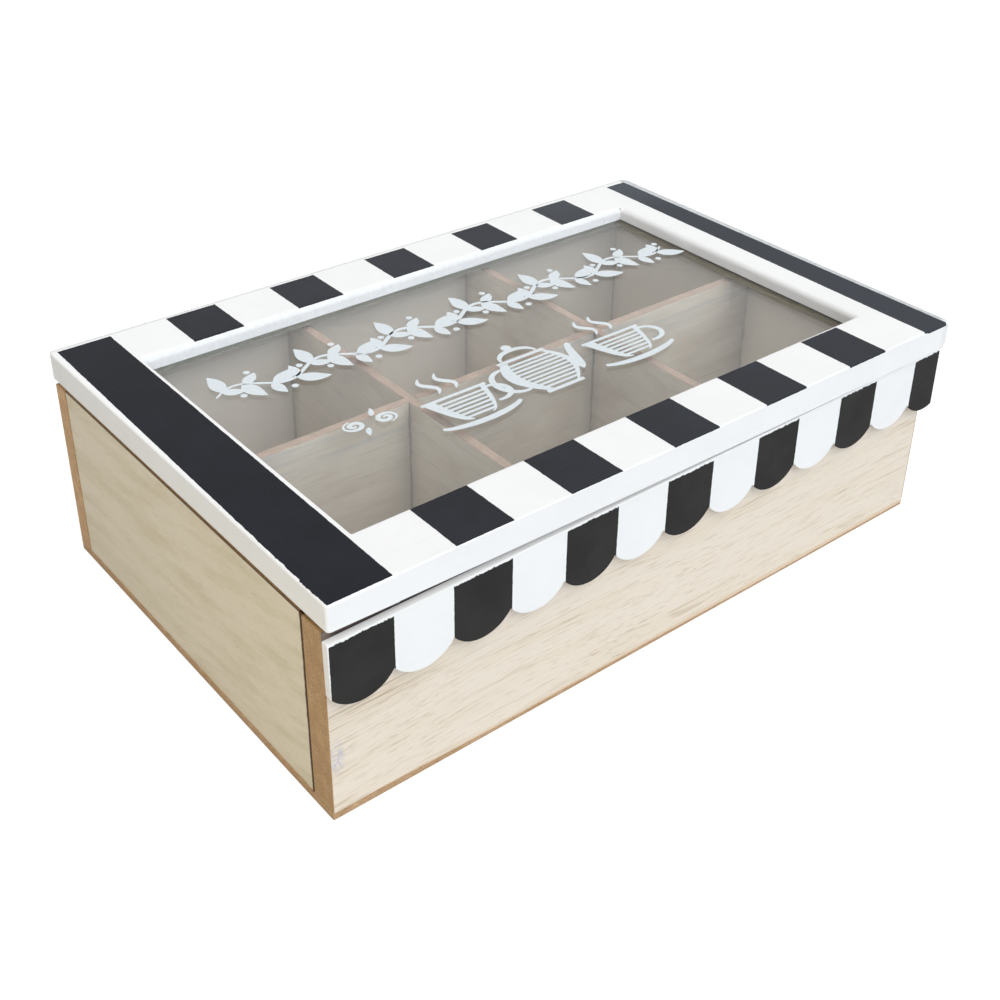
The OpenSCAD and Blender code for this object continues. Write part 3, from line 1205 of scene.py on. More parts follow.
@dataclass(frozen=True)
class PrintInk:
    """Opaque white ink, screen printed on the glass.

    Attributes:
        solid: its colour where thick.
        thin: its colour where thin.
    """

    solid: Colour = (0.70, 0.755, 0.785)
    thin: Colour = (0.61, 0.665, 0.69)

    def material(self) -> bpy.types.Material:
        """Wires the material.

        Returns:
            The finished material.
        """
        wiring = Wiring("white_print")
        worn = wiring.rise(wiring.noise(wiring.place, 900.0, 4.0, 0.7), 0.45, 0.75)
        colour = wiring.mix(worn, self.solid, self.thin)
        normal = wiring.relief(worn, 0.02 * MM)
        return wiring.finish(Base_Color=colour, Roughness=0.6, Normal=normal)


# ---- meshes ----


def placed(name: str, data: bpy.types.ID) -> bpy.types.Object:
    """Makes an object of a mesh, lamp or camera and puts it in the scene.

    Args:
        name: its name.
        data: its mesh, lamp or camera.

    Returns:
        The object.
    """
    made = bpy.data.objects.new(name, data)
    bpy.context.scene.collection.objects.link(made)
    return made


@dataclass
class Mesher:
    """Gathers grids of points into one closed mesh.

    Attributes:
        points: the points of each grid, in order.
        faces: the faces of each grid, as numbers of points.
        count: how many points there are so far.
    """

    points: list[np.ndarray] = field(default_factory=list)
    faces: list[np.ndarray] = field(default_factory=list)
    count: int = 0

    def sheet(self, grid: np.ndarray, closed: bool = False) -> None:
        """Adds a grid of points as quads.

        A cell joins (u, v), (u+1, v), (u+1, v+1) and (u, v+1).

        Args:
            grid: the points, of shape (rows, columns, 3).
            closed: join the last column to the first.
        """
        rows, columns, _ = grid.shape
        numbers = np.arange(rows * columns).reshape(rows, columns) + self.count
        if closed:
            numbers = np.concatenate([numbers, numbers[:, :1]], axis=1)
        quads = np.stack(
            [numbers[:-1, :-1], numbers[1:, :-1], numbers[1:, 1:], numbers[:-1, 1:]], axis=-1
        )
        self.points.append(grid.reshape(-1, 3))
        self.faces.append(quads.reshape(-1, 4))
        self.count += rows * columns

    def tube(self, grid: np.ndarray) -> None:
        """Adds a profile carried along a path, with flat ends.

        Each end is filled by drawing its profile together to its own middle.

        Args:
            grid: the points, of shape (stations, profile points, 3).
        """
        first = np.broadcast_to(grid[:1].mean(axis=1, keepdims=True), grid[:1].shape)
        last = np.broadcast_to(grid[-1:].mean(axis=1, keepdims=True), grid[-1:].shape)
        self.sheet(np.concatenate([first, grid, last]), closed=True)

    def slab(self, grid: np.ndarray, low: float, high: float) -> None:
        """Adds a flat patch as a closed slab between two heights.

        Args:
            grid: the patch's plan, of shape (rows, columns, 2).
            low: the height of its underside.
            high: the height of its top.
        """
        top = np.concatenate([grid, np.full((*grid.shape[:2], 1), high)], axis=2)
        under = np.concatenate([grid, np.full((*grid.shape[:2], 1), low)], axis=2)
        self.sheet(top)
        self.sheet(under[:, ::-1])
        rim = np.concatenate([top[0], top[1:, -1], top[-1, -2::-1], top[-2:0:-1, 0]])
        foot = rim * (1, 1, 0) + (0, 0, low)
        self.sheet(np.stack([rim, foot]), closed=True)

    def piece(self, name: str, material: bpy.types.Material, body: Body) -> bpy.types.Object:
        """Makes the object and lets it ride on its body.

        Args:
            name: the piece's name.
            material: its material.
            body: the body that it rides on.

        Returns:
            The object.
        """
        mesh = bpy.data.meshes.new(name)
        mesh.from_pydata(np.concatenate(self.points), [], np.concatenate(self.faces))
        made = bmesh.new()
        made.from_mesh(mesh)
        bmesh.ops.remove_doubles(made, verts=made.verts, dist=SAME_POINT)
        bmesh.ops.dissolve_degenerate(made, dist=SAME_POINT, edges=made.edges)
        bmesh.ops.recalc_face_normals(made, faces=made.faces)
        made.to_mesh(mesh)
        made.free()
        mesh.materials.append(material)
        piece = placed(name, mesh)
        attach(piece, body.value)
        report(piece)
        return piece


def report(piece: bpy.types.Object) -> None:
    """Logs a piece's name, size and number of faces."""
    size = ", ".join(f"{side / MM:.1f}" for side in piece.dimensions)
    log.info("%s: %d faces, %s mm", piece.name, len(piece.data.polygons), size)


def dress(
    nodes: Iterable[str], material: bpy.types.Material, arris: float = 0.0, segments: int = 2
) -> None:
    """Gives CAD nodes a material and, if asked, lightly rounded edges.

    Args:
        nodes: the nodes' names.
        material: the material.
        arris: the radius of the rounded edges, or 0 for none.
        segments: how many faces each rounded edge gets.
    """
    for name in nodes:
        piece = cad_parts[name]
        piece.data.materials.clear()
        piece.data.materials.append(material)
        if arris > 0.0:
            weld = piece.modifiers.new("weld", "WELD")
            weld.merge_threshold = 0.002 * MM
            bevel = piece.modifiers.new("arris", "BEVEL")
            bevel.width = arris
            bevel.segments = segments
            bevel.limit_method = "ANGLE"
            bevel.angle_limit = math.radians(40)
            bevel.harden_normals = False
        report(piece)


def quarter(radius: float, steps: int) -> tuple[np.ndarray, np.ndarray]:
    """A quarter circle as two rows of numbers.

    Args:
        radius: its radius.
        steps: how many spans it has.

    Returns:
        radius (1 - cos t) and radius (1 - sin t), for t from 0 to a right angle.
    """
    turn = np.linspace(0.0, math.pi / 2, steps + 1)
    return radius * (1 - np.cos(turn)), radius * (1 - np.sin(turn))


# ---- sub-assemblies ----


@dataclass
class Carcass:
    """The box under the lid: base, four walls and three dividers.

    Attributes:
        front: the front panel's outer face on Y.
        inner_front: its inner face.
        back: the back panel's outer face on Y.
        inner_back: its inner face.
        side: how far the outer faces of the left and right panels lie from the middle.
        inner_side: how far their inner faces do.
        ends: how far from the middle the raw ends of the front and back panels begin.
        divider_top: the height of the dividers' tops.
        cell_ends: the right ends of the compartments on X.
        row_ends: the back ends of the two rows of compartments on Y.
    """

    front: float = -77.0 * MM
    inner_front: float = -68.0 * MM
    back: float = 77.0 * MM
    inner_back: float = 71.0 * MM
    side: float = 119.6 * MM
    inner_side: float = 113.6 * MM
    ends: float = 119.62 * MM
    divider_top: float = 63.3 * MM
    cell_ends: tuple[float, ...] = (-39.87 * MM, 36.87 * MM, 113.6 * MM)
    row_ends: tuple[float, ...] = (-1.0 * MM, 71.0 * MM)

    def build(self) -> None:
        """Dresses the base board, the walls and the dividers."""
        veneer = Grain(
            (0.790, 0.706, 0.598), (0.745, 0.637, 0.490), (0.47, 0.34, 0.205), Axis.X,
            band=0.50, fine=0.66,
        )
        washed = VeneeredBoard(
            "washed_front", veneer, Axis.Y, (self.front, self.inner_front),
            # Painted shadow of the gap under the lid along the top of the outer face.
            smudge=(-117.8 * MM, 21.3 * MM), raw_beyond=self.ends, gap_shadow_above=60.4 * MM,
            gap_shadow_fading=(61.7 * MM, 62.6 * MM),
            fibre=Fibre((0.385, 0.222, 0.082), (0.21, 0.110, 0.036), (0.48, 0.30, 0.125)),
            streaky=(-106.0 * MM, 33.0 * MM, 24.0 * MM, 11.0 * MM),
        )
        dress(["front_panel"], washed.material(), arris=0.3 * MM)
        back = VeneeredBoard(
            "washed_back", veneer, Axis.Y, (self.back, self.inner_back), raw_beyond=self.ends,
            # Painted shade up under the lid, and at the joints.
            painted_lid_shade=(50.0 * MM, 66.0 * MM, 0.62), joints=self.cell_ends,
        )
        dress(["back_panel"], back.material(), arris=0.12 * MM)
        wood = Grain(
            (0.725, 0.645, 0.500), (0.615, 0.540, 0.365), (0.45, 0.35, 0.20), Axis.Y,
            band=0.80, fine=0.32, slant=0.16,
        )
        for name, sign in (("left_panel", -1.0), ("right_panel", 1.0)):
            plain = VeneeredBoard(
                f"bare_{name}", wood, Axis.X, (sign * self.side, sign * self.inner_side),
                # A thin painted shadow of the gap under the lid along the top of the outer face.
                seam=self.inner_front, gap_shadow_above=63.0 * MM, gap_shadow_tone=(0.11, 0.056, 0.022),
                # Painted shade up under the lid, olive brown, and at the joints.
                wash=(0.62, 0.595, 0.54), painted_lid_shade=(49.5 * MM, 59.0 * MM, 0.62),
                painted_lid_shade_tone=(0.20, 0.148, 0.075), joints=self.row_ends,
            )
            dress([name], plain.material(), arris=0.15 * MM)
        sawn = self.divider_top - 0.08 * MM
        long_grain = Grain((0.575, 0.53, 0.45), (0.50, 0.45, 0.375), (0.33, 0.29, 0.24), Axis.X)
        long_board = RawBoard(
            "long_divider_board", long_grain, sawn, joints=self.cell_ends, bloom=0.55
        )
        dress(["long_divider"], long_board.material(), arris=0.3 * MM)
        cross_grain = Grain((0.62, 0.58, 0.505), (0.545, 0.50, 0.43), (0.38, 0.34, 0.28), Axis.Y)
        cross_board = RawBoard("cross_divider_board", cross_grain, sawn, joints=self.row_ends)
        names = ["left_cross_divider", "right_cross_divider"]
        dress(names, cross_board.material(), arris=0.3 * MM)
        fibre = Fibre((0.445, 0.280, 0.147), (0.285, 0.168, 0.082), (0.52, 0.35, 0.20))
        base = FibreBoard("base_fibreboard", fibre, self.front)
        dress(["base_board"], base.material(), arris=0.25 * MM)
        steel = Metal("brad_steel", (0.62, 0.62, 0.62), (0.42, 0.42, 0.43), 0.35)
        dress(["base_brads"], steel.material())


@dataclass
class Awning:
    """The scalloped board along the top of the front panel.

    Attributes:
        arris: the radius of its rounded edges.
        segments: how many faces each rounded edge has.
    """

    arris: float = 0.16 * MM
    segments: int = 3

    def build(self) -> None:
        """Dresses the awning."""
        dress(["scalloped_awning"], AwningPaint().material(), self.arris, self.segments)


@dataclass
class Hinges:
    """The two stop hinges, with their pins and screws.

    Attributes:
        sides: the sides of the box that they stand at.
        leaves: the leaves of each hinge.
    """

    sides: tuple[str, ...] = ("left", "right")
    leaves: tuple[str, ...] = ("box", "lid")

    def build(self) -> None:
        """Dresses the leaves, pins and screws."""
        brass = Metal("hinge_brass", (0.80, 0.60, 0.28), (0.58, 0.42, 0.20)).material()
        screw = Metal("screw_brass", (0.74, 0.55, 0.26), (0.52, 0.37, 0.18), 0.32).material()
        hinged = [f"{side}_hinge_{leaf}" for side in self.sides for leaf in self.leaves]
        dress([f"{name}_leaf" for name in hinged], brass)
        dress([f"{side}_hinge_pin" for side in self.sides], brass)
        dress([f"{name}_screws" for name in hinged], screw)


@dataclass(frozen=True)
class Member:
    """One member of the lid's frame.

    Attributes:
        node: the CAD node that it stands for.
        outer: its outer face on its cross axis.
        width: its width.
        sign: 1 where the window lies on the side of larger numbers, or -1.
        outer_arris: the radius of its outer top edge.
        inner_arris: the radius of its window edge.
        foot_arris: the radius of its outer bottom edge.
        end_arris: the radius of a stile's front and back top edges.
        corner: the radius of a stile's front and back upright corners.
        taper: how much narrower a stile is at its back end.
    """

    node: str
    outer: float
    width: float
    sign: float
    outer_arris: float
    inner_arris: float
    foot_arris: float = 0.25 * MM
    end_arris: tuple[float, float] = (0.7 * MM, 1.7 * MM)
    corner: tuple[float, float] = (1.0 * MM, 1.0 * MM)
    taper: float = 0.0


@dataclass
class LidFrame:
    """The lid's frame: two stiles over the full depth, with two rails between them.

    Attributes:
        left: the lid's left edge on X.
        right: its right edge on X.
        front: its front edge on Y.
        back: its back edge on Y.
        bottom: the height of its underside.
        top: the height of its top.
        width: the width of the left stile and the front rail.
        wide: the width of the right stile and the back rail.
        sunk: how far the underside hangs below its level along the front, at the right.
        raised: how much higher than that it lies at the front left corner.
        reach: how far along X that rise fades to a third.
        glass_top: the height of the rebate's roof.
        rebate: how deep the rebate cuts into a member.
        steps: how many faces a rounded edge has.
        corner_steps: how many faces a rounded upright corner has.
        spans: how many spans a rail has along its length.
    """

    left: float = -120.0 * MM
    right: float = 126.0 * MM
    front: float = -80.0 * MM
    back: float = 81.2 * MM
    bottom: float = 64.4 * MM
    top: float = 73.4 * MM
    width: float = 21.2 * MM
    wide: float = 23.4 * MM
    sunk: float = 0.85 * MM
    raised: float = 1.66 * MM
    reach: float = 64.0 * MM
    glass_top: float = 68.8 * MM
    rebate: float = 5.3 * MM
    steps: int = 5
    corner_steps: int = 8
    spans: int = 32

    def sections(
        self, member: Member, inset: np.ndarray, drop: np.ndarray, window: np.ndarray,
        cut: np.ndarray,
    ) -> np.ndarray:
        """The cross-sections of a member, one for each station.

        A section runs round from the outer edge's foot, up the outer face, over the rounded
        outer edge, across the top, over the rounded window edge, down the window face and
        round the rebate. Its two numbers are the distance in from the outer face and the height.

        Args:
            member: the member.
            inset: how far the outer face stands in at each station.
            drop: how far the top comes down at each station.
            window: the radius of the window edge at each station.
            cut: the depth of the rebate at each station.

        Returns:
            The points, of shape (stations, profile points, 2).
        """
        round_out, round_up = quarter(1.0, self.steps)
        inset, drop, window, cut = (a[:, None] for a in (inset, drop, window, cut))
        one = np.ones_like(inset)
        roof = self.glass_top * one
        foot = self.bottom * one
        peak = self.top - drop
        radius = np.maximum(member.outer_arris - drop, 0.0)
        across = np.concatenate(
            [
                inset + member.foot_arris * round_up, inset + radius * round_out,
                member.width - window * round_up, member.width * one,
                member.width - cut, member.width - cut,
            ],
            axis=1,
        )
        up = np.concatenate(
            [
                foot + member.foot_arris * round_out, peak - radius * round_up,
                peak - window * round_out, roof, roof, foot,
            ],
            axis=1,
        )
        return np.stack([across, up], axis=2)

    def warped(self, x: np.ndarray, y: np.ndarray, z: np.ndarray) -> np.ndarray:
        """Bends the underside: up at the front left and down at the front right.

        Below the rebate's roof, a height moves by the bend times its share of the way down
        to the underside. The bend dies away exponentially along X and evenly towards the back.

        Args:
            x, y, z: the points.

        Returns:
            The points, stacked along a new last axis.
        """
        fade = (self.back - y) / (self.back - self.front)
        bend = self.raised * np.exp((self.left - x) / self.reach) - self.sunk
        lift = bend * fade
        share = np.clip((self.glass_top - z) / (self.glass_top - self.bottom), 0.0, 1.0)
        return np.stack([x, y, z + lift * share], axis=-1)

    def stile(self, member: Member) -> bpy.types.Object:
        """Builds one stile.

        Its sections run along Y. Near each end, the outer face turns in on the corner's
        quarter circle and the top turns down on the edge's quarter circle. The outer face
        stands in by the taper's share of the way back. Where the window and the rebate begin
        and end there are two stations at one place, before the step and after it.

        Args:
            member: the stile.

        Returns:
            The piece.
        """
        low, high = self.front + self.width, self.back - self.wide
        marks = [low - self.rebate, low, high, high + self.rebate]
        front, back = (
            np.unique(
                np.concatenate(
                    [quarter(edge, self.steps)[0], quarter(corner, self.corner_steps)[0]]
                ).round(9)
            )
            for edge, corner in zip(member.end_arris, member.corner)
        )
        along = np.concatenate([self.front + front, np.repeat(marks, 2), self.back - back[::-1]])
        ends = (along - self.front, self.back - along)

        def turned(radii: tuple[float, float]) -> np.ndarray:
            """How far a quarter circle at each end has come in.

            Args:
                radii: the quarter circles' radii at the front and the back.

            Returns:
                The distance in from the outer face, or down from the top, at each station.
            """
            near = [np.minimum(far, radius) for far, radius in zip(ends, radii)]
            return np.maximum(*(
                radius - np.sqrt(radius**2 - (radius - n) ** 2) for n, radius in zip(near, radii)
            ))

        narrower = member.taper * ends[0] / (self.back - self.front)
        order = np.arange(len(along)) - len(front)
        open_window = (order >= 3) & (order <= 4)
        open_rebate = (order >= 1) & (order <= 6)
        grid = self.sections(
            member, turned(member.corner) + narrower, turned(member.end_arris),
            np.where(open_window, member.inner_arris, 0.0),
            np.where(open_rebate, self.rebate, 0.0),
        )
        x = member.outer + member.sign * grid[..., 0]
        y = np.broadcast_to(along[:, None], x.shape)
        return self.piece(member, x, y, grid[..., 1], Axis.Y)

    def rail(self, member: Member) -> bpy.types.Object:
        """Builds one rail, whose sections run straight along X between the stiles.

        Args:
            member: the rail.

        Returns:
            The piece.
        """
        along = np.linspace(self.left + self.width, self.right - self.wide, self.spans + 1)
        zero = np.zeros_like(along)
        grid = self.sections(member, zero, zero, zero + member.inner_arris, zero + self.rebate)
        y = member.outer + member.sign * grid[..., 0]
        x = np.broadcast_to(along[:, None], y.shape)
        return self.piece(member, x, y, grid[..., 1], Axis.X)

    def piece(
        self, member: Member, x: np.ndarray, y: np.ndarray, z: np.ndarray, along: Axis
    ) -> bpy.types.Object:
        """Closes a member's sections into a painted piece in place of its CAD node.

        Args:
            member: the member.
            x, y, z: the points of its sections.
            along: the way it runs.

        Returns:
            The piece.
        """
        mesher = Mesher()
        mesher.tube(self.warped(x, y, z))
        piece = mesher.piece(f"painted_{member.node}", StripedLid().material(along), Body.LID)
        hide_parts(member.node)
        return piece

    def build(self) -> None:
        """Builds the four members and dresses the dowels."""
        near, far = 0.7 * MM, 1.7 * MM
        soft, sharp = 2.0 * MM, 0.45 * MM
        left = Member(
            "lid_left_stile", self.left, self.width, 1.0, near, sharp,
            corner=(1.0 * MM, 2.8 * MM), taper=0.4 * MM,
        )
        right = Member(
            "lid_right_stile", self.right, self.wide, -1.0, far, soft, 2.2 * MM,
            corner=(2.4 * MM, 4.0 * MM),
        )
        self.stile(left)
        self.stile(right)
        self.rail(Member("lid_front_rail", self.front, self.width, 1.0, 0.5 * near, sharp))
        self.rail(Member("lid_back_rail", self.back, self.wide, -1.0, far, soft))
        beech = Grain((0.80, 0.66, 0.46), (0.74, 0.58, 0.38), (0.6, 0.44, 0.26), Axis.X)
        dress(["lid_dowels"], RawBoard("dowel_beech", beech).material())


@dataclass
class Glazing:
    """The pane and the four beads that hold it up.

    Attributes:
        arris: the radius of the beads' rounded edges.
    """

    arris: float = 0.15 * MM

    def build(self) -> None:
        """Dresses the pane and the beads."""
        dress(["glass_pane"], WindowGlass().material())
        # The back and right beads take darker copies of the bead colour: painted shade under the
        # rails.
        tones = {
            "bead_board": (("front", "left"), (0.40, 0.30, 0.19), (0.26, 0.18, 0.11)),
            "back_bead_painted_shade": (("back",), (0.28, 0.28, 0.235), (0.20, 0.195, 0.16)),
            "right_bead_painted_shade": (("right",), (0.175, 0.150, 0.090), (0.12, 0.10, 0.06)),
        }
        for name, (sides, base, dark) in tones.items():
            board = FibreBoard(name, Fibre(base, dark, toned(base, 1.15)), bare=False)
            dress([f"{side}_glass_bead" for side in sides], board.material(), self.arris)


@dataclass
class Ornament:
    """A leafy garland over a teapot, two cups and a scroll, printed on the glass.

    The drawing is in millimetres, seen from above; build() brings it to metres.

    Attributes:
        under: the height of the glass's top face.
        thick: the thickness of the ink.
        step: how much higher each of five strokes in turn lies, so that none coincide.
        garland: where the garland begins and ends on X, in millimetres.
        garland_y: the middle of its stem on Y.
        wave: how far the stem swings to each side.
        wavelength: the length of one swing there and back.
    """

    under: float = 68.8 * MM
    thick: float = 0.06 * MM
    step: float = 0.004 * MM
    garland: tuple[float, float] = (-89.0, 97.0)
    garland_y: float = 30.0
    wave: float = 3.6
    wavelength: float = 31.0

    def ribbon(self, path: np.ndarray, width: np.ndarray | float, strands: int = 3) -> np.ndarray:
        """A band of changing width along a path.

        Each row holds points spread evenly across the path, at right angles to it.

        Args:
            path: the middle line, of shape (points, 2).
            width: the full width at each point.
            strands: how many points lie across the band.

        Returns:
            The plan of the band, of shape (points, strands, 2).
        """
        run = np.gradient(path, axis=0)
        run /= np.linalg.norm(run, axis=1, keepdims=True) + 1e-12
        side = np.stack([-run[:, 1], run[:, 0]], axis=1)
        share = np.linspace(0.5, -0.5, strands)
        spread = np.broadcast_to(width, (len(path),))[:, None, None] * share[None, :, None]
        return path[:, None] + side[:, None] * spread

    def leaf(self, root: np.ndarray, angle: float, length: float, width: float) -> np.ndarray:
        """A pointed leaf: a band whose width follows a skewed half sine.

        Args:
            root: where it grows from.
            angle: the way it points.
            length: its length.
            width: its greatest width.

        Returns:
            The plan of the leaf.
        """
        share = np.linspace(0.0, 1.0, 13)
        bend = angle + 0.5 * (share - 0.5)
        step = length / 12 * np.stack([np.cos(bend), np.sin(bend)], axis=1)
        path = root + np.cumsum(step, axis=0) - step[0]
        return self.ribbon(path, width * np.sin(math.pi * share**0.8) ** 0.9 + 0.05)

    def disc(self, centre: Sequence[float], radius: float) -> np.ndarray:
        """A round dot: two half discs' edges with bands between them.

        Args:
            centre: its middle.
            radius: its radius.

        Returns:
            The plan of the dot.
        """
        turn = np.linspace(0.02, math.pi - 0.02, 13)
        x = centre[0] + radius * np.cos(turn)
        rise = radius * np.sin(turn)
        low = np.stack([x, centre[1] - rise], axis=1)
        high = np.stack([x, centre[1] + rise], axis=1)
        return np.stack([low, high], axis=1)

    def arc(
        self, centre: Sequence[float], radii: Sequence[float], turn: Sequence[float],
        width: float, points: int = 25,
    ) -> np.ndarray:
        """A band along part of an ellipse.

        Args:
            centre: the ellipse's middle.
            radii: its two radii.
            turn: the first and last angle, in degrees.
            width: the band's width at its middle; its ends are half as wide.
            points: how many points lie along it.

        Returns:
            The plan of the band.
        """
        angle = np.radians(np.linspace(*turn, points))
        path = np.stack(
            [centre[0] + radii[0] * np.cos(angle), centre[1] + radii[1] * np.sin(angle)], axis=1
        )
        swell = 0.5 + 0.5 * np.sin(np.linspace(0, math.pi, points))
        return self.ribbon(path, width * swell)

    def vessel(
        self, middle: float, low: float, high: float, half: np.ndarray, wall: float
    ) -> list[np.ndarray]:
        """The body of a cup or pot: two solid sides with rungs between them.

        Args:
            middle: its middle on X.
            low: the Y of its foot.
            high: the Y of its rim.
            half: its half width at even steps from foot to rim.
            wall: the share of the half width that each solid side takes.

        Returns:
            The plans of its parts.
        """
        y = np.linspace(low, high, len(half))
        outer_left = np.stack([middle - half, y], axis=1)
        inner_left = np.stack([middle - half * (1 - wall), y], axis=1)
        inner_right = np.stack([middle + half * (1 - wall * 0.5), y], axis=1)
        outer_right = np.stack([middle + half, y], axis=1)
        parts = [
            np.stack([outer_left, inner_left], axis=1),
            np.stack([inner_right, outer_right], axis=1),
        ]
        for height in np.arange(low + 1.2, high - 1.0, 2.1):
            reach = np.interp([height, height + 1.05], y, half)
            left = middle - reach * (1 - wall) - 0.05
            right = middle + reach * (1 - wall * 0.5) + 0.05
            rows = np.stack([left, right], axis=1)
            rung = np.stack([rows, np.array([[height] * 2, [height + 1.05] * 2])], axis=2)
            parts.append(rung)
        return parts

    def cup(self, middle: float, low: float) -> list[np.ndarray]:
        """A cup on a saucer, with two curls of steam.

        Args:
            middle: its middle on X.
            low: the Y of its foot.

        Returns:
            The plans of its parts.
        """
        share = np.linspace(0.0, 1.0, 17)
        half = 4.2 + 7.3 * share**0.55
        parts = self.vessel(middle, low + 2.6, low + 17.0, half, 0.34)
        rim = np.stack([np.linspace(middle - 12.2, middle + 12.2, 9), np.full(9, low + 17.6)], 1)
        saucer = self.arc((middle, low + 4.6), (15.6, 4.4), (200, 340), 2.4)
        handle = self.arc((middle + 11.0, low + 11.2), (5.2, 4.6), (-110, 95), 1.9)
        parts += [self.ribbon(rim, 1.3), saucer, handle]
        for side in (-3.2, 3.2):
            rise = np.linspace(0, 1, 25)
            x = middle + side + 1.7 * np.sin(2 * math.pi * rise)
            path = np.stack([x, low + 20.6 + 11.5 * rise], axis=1)
            parts.append(self.ribbon(path, 1.7 * np.sin(math.pi * rise) ** 0.7 + 0.2))
        return parts

    def pot(self, middle: float, low: float) -> list[np.ndarray]:
        """A round pot with a lid, a spout and a handle.

        Args:
            middle: its middle on X.
            low: the Y of its foot.

        Returns:
            The plans of its parts.
        """
        share = np.linspace(0.0, 1.0, 25)
        half = 5.4 + 7.4 * np.sin(math.pi * (0.04 + 0.80 * share)) ** 0.9
        parts = self.vessel(middle, low + 1.8, low + 22.5, half, 0.34)
        foot = np.stack([np.linspace(middle - 7.4, middle + 7.4, 9), np.full(9, low + 0.9)], 1)
        rim = np.stack([np.linspace(middle - 9.6, middle + 9.6, 9), np.full(9, low + 23.4)], 1)
        dome = self.arc((middle, low + 24.4), (7.0, 4.6), (0, 180), 1.9)
        parts += [self.ribbon(foot, 1.5), self.ribbon(rim, 1.4), dome]
        parts.append(self.disc((middle, low + 31.0), 1.8))
        sweep = np.linspace(0, 1, 21)
        spout = np.stack(
            [middle + 11.0 + 7.4 * sweep, low + 7.8 + 13.5 * (3 * sweep**2 - 2 * sweep**3)], axis=1
        )
        parts.append(self.ribbon(spout, 4.6 - 2.9 * sweep))
        parts.append(self.arc((middle - 11.2, low + 13.0), (6.6, 7.4), (80, 280), 2.1))
        return parts

    def scroll(self, middle: float, height: float) -> list[np.ndarray]:
        """Two curls joined by a slanting stroke, with two buds.

        Args:
            middle: its middle on X.
            height: its middle on Y.

        Returns:
            The plans of its parts.
        """
        parts = []
        for sign in (-1.0, 1.0):
            turn = np.linspace(0.0, 3.4 * math.pi, 61)
            size = 0.35 + 3.3 * (turn / turn[-1]) ** 0.9
            x = sign * (5.2 - size * np.cos(turn + 0.3))
            y = sign * (-0.6 + 0.8 * size * np.sin(turn + 0.3))
            path = np.stack([middle + x, height + y], axis=1)
            parts.append(self.ribbon(path, 0.35 + 1.25 * np.sin(math.pi * turn / turn[-1])))
            root = np.array([middle + sign * 2.0, height + sign * 2.6])
            parts.append(self.leaf(root, 1.05 if sign > 0 else 1.05 + math.pi, 4.6, 1.7))
        return parts

    def vine(self) -> list[np.ndarray]:
        """A waving stem with a leaf on each side at every turn, and berries.

        The stem's height is a sine of X; leaves point along the stem, up and down in turn.

        Returns:
            The plans of its parts.
        """
        x = np.linspace(*self.garland, 241)
        phase = 2 * math.pi * (x - self.garland[0]) / self.wavelength
        y = self.garland_y + self.wave * np.sin(phase)
        share = (x - x[0]) / (x[-1] - x[0])
        parts = [self.ribbon(np.stack([x, y], axis=1), 0.5 + 0.9 * np.sin(math.pi * share) ** 0.3)]
        spots = np.arange(self.garland[0] + 3.0, self.garland[1] - 1.0, self.wavelength / 4)
        heights = np.interp(spots, x, y)
        slopes = np.interp(spots, x, np.gradient(y, x))
        for number, (spot, height, slope) in enumerate(zip(spots, heights, slopes)):
            root = np.array([spot, height])
            tilt = math.atan(slope)
            for side in (1.0, -1.0):
                large = (number % 2 == 0) == (side > 0)
                length, width = (11.0, 5.1) if large else (7.6, 3.8)
                parts.append(self.leaf(root, tilt + side * 0.95, length, width))
            away = -1.0 if number % 2 == 0 else 1.0
            parts.append(self.disc((spot + 4.4, height + away * 5.6), 1.1))
        return parts

    def build(self) -> None:
        """Builds the printed pieces."""
        ink = PrintInk().material()
        groups = {
            "garland_print": self.vine(),
            "left_cup_print": self.cup(-31.0, -29.5),
            "teapot_print": self.pot(0.5, -29.0),
            "right_cup_print": self.cup(33.5, -29.5),
            "scroll_print": self.scroll(-60.0, -9.5),
        }
        for name, plans in groups.items():
            mesher = Mesher()
            for number, plan in enumerate(plans):
                high = self.under + self.thick + self.step * (number % 5)
                mesher.slab(plan * MM, self.under, high)
            piece = mesher.piece(name, ink, Body.LID)


# ---- studio ----


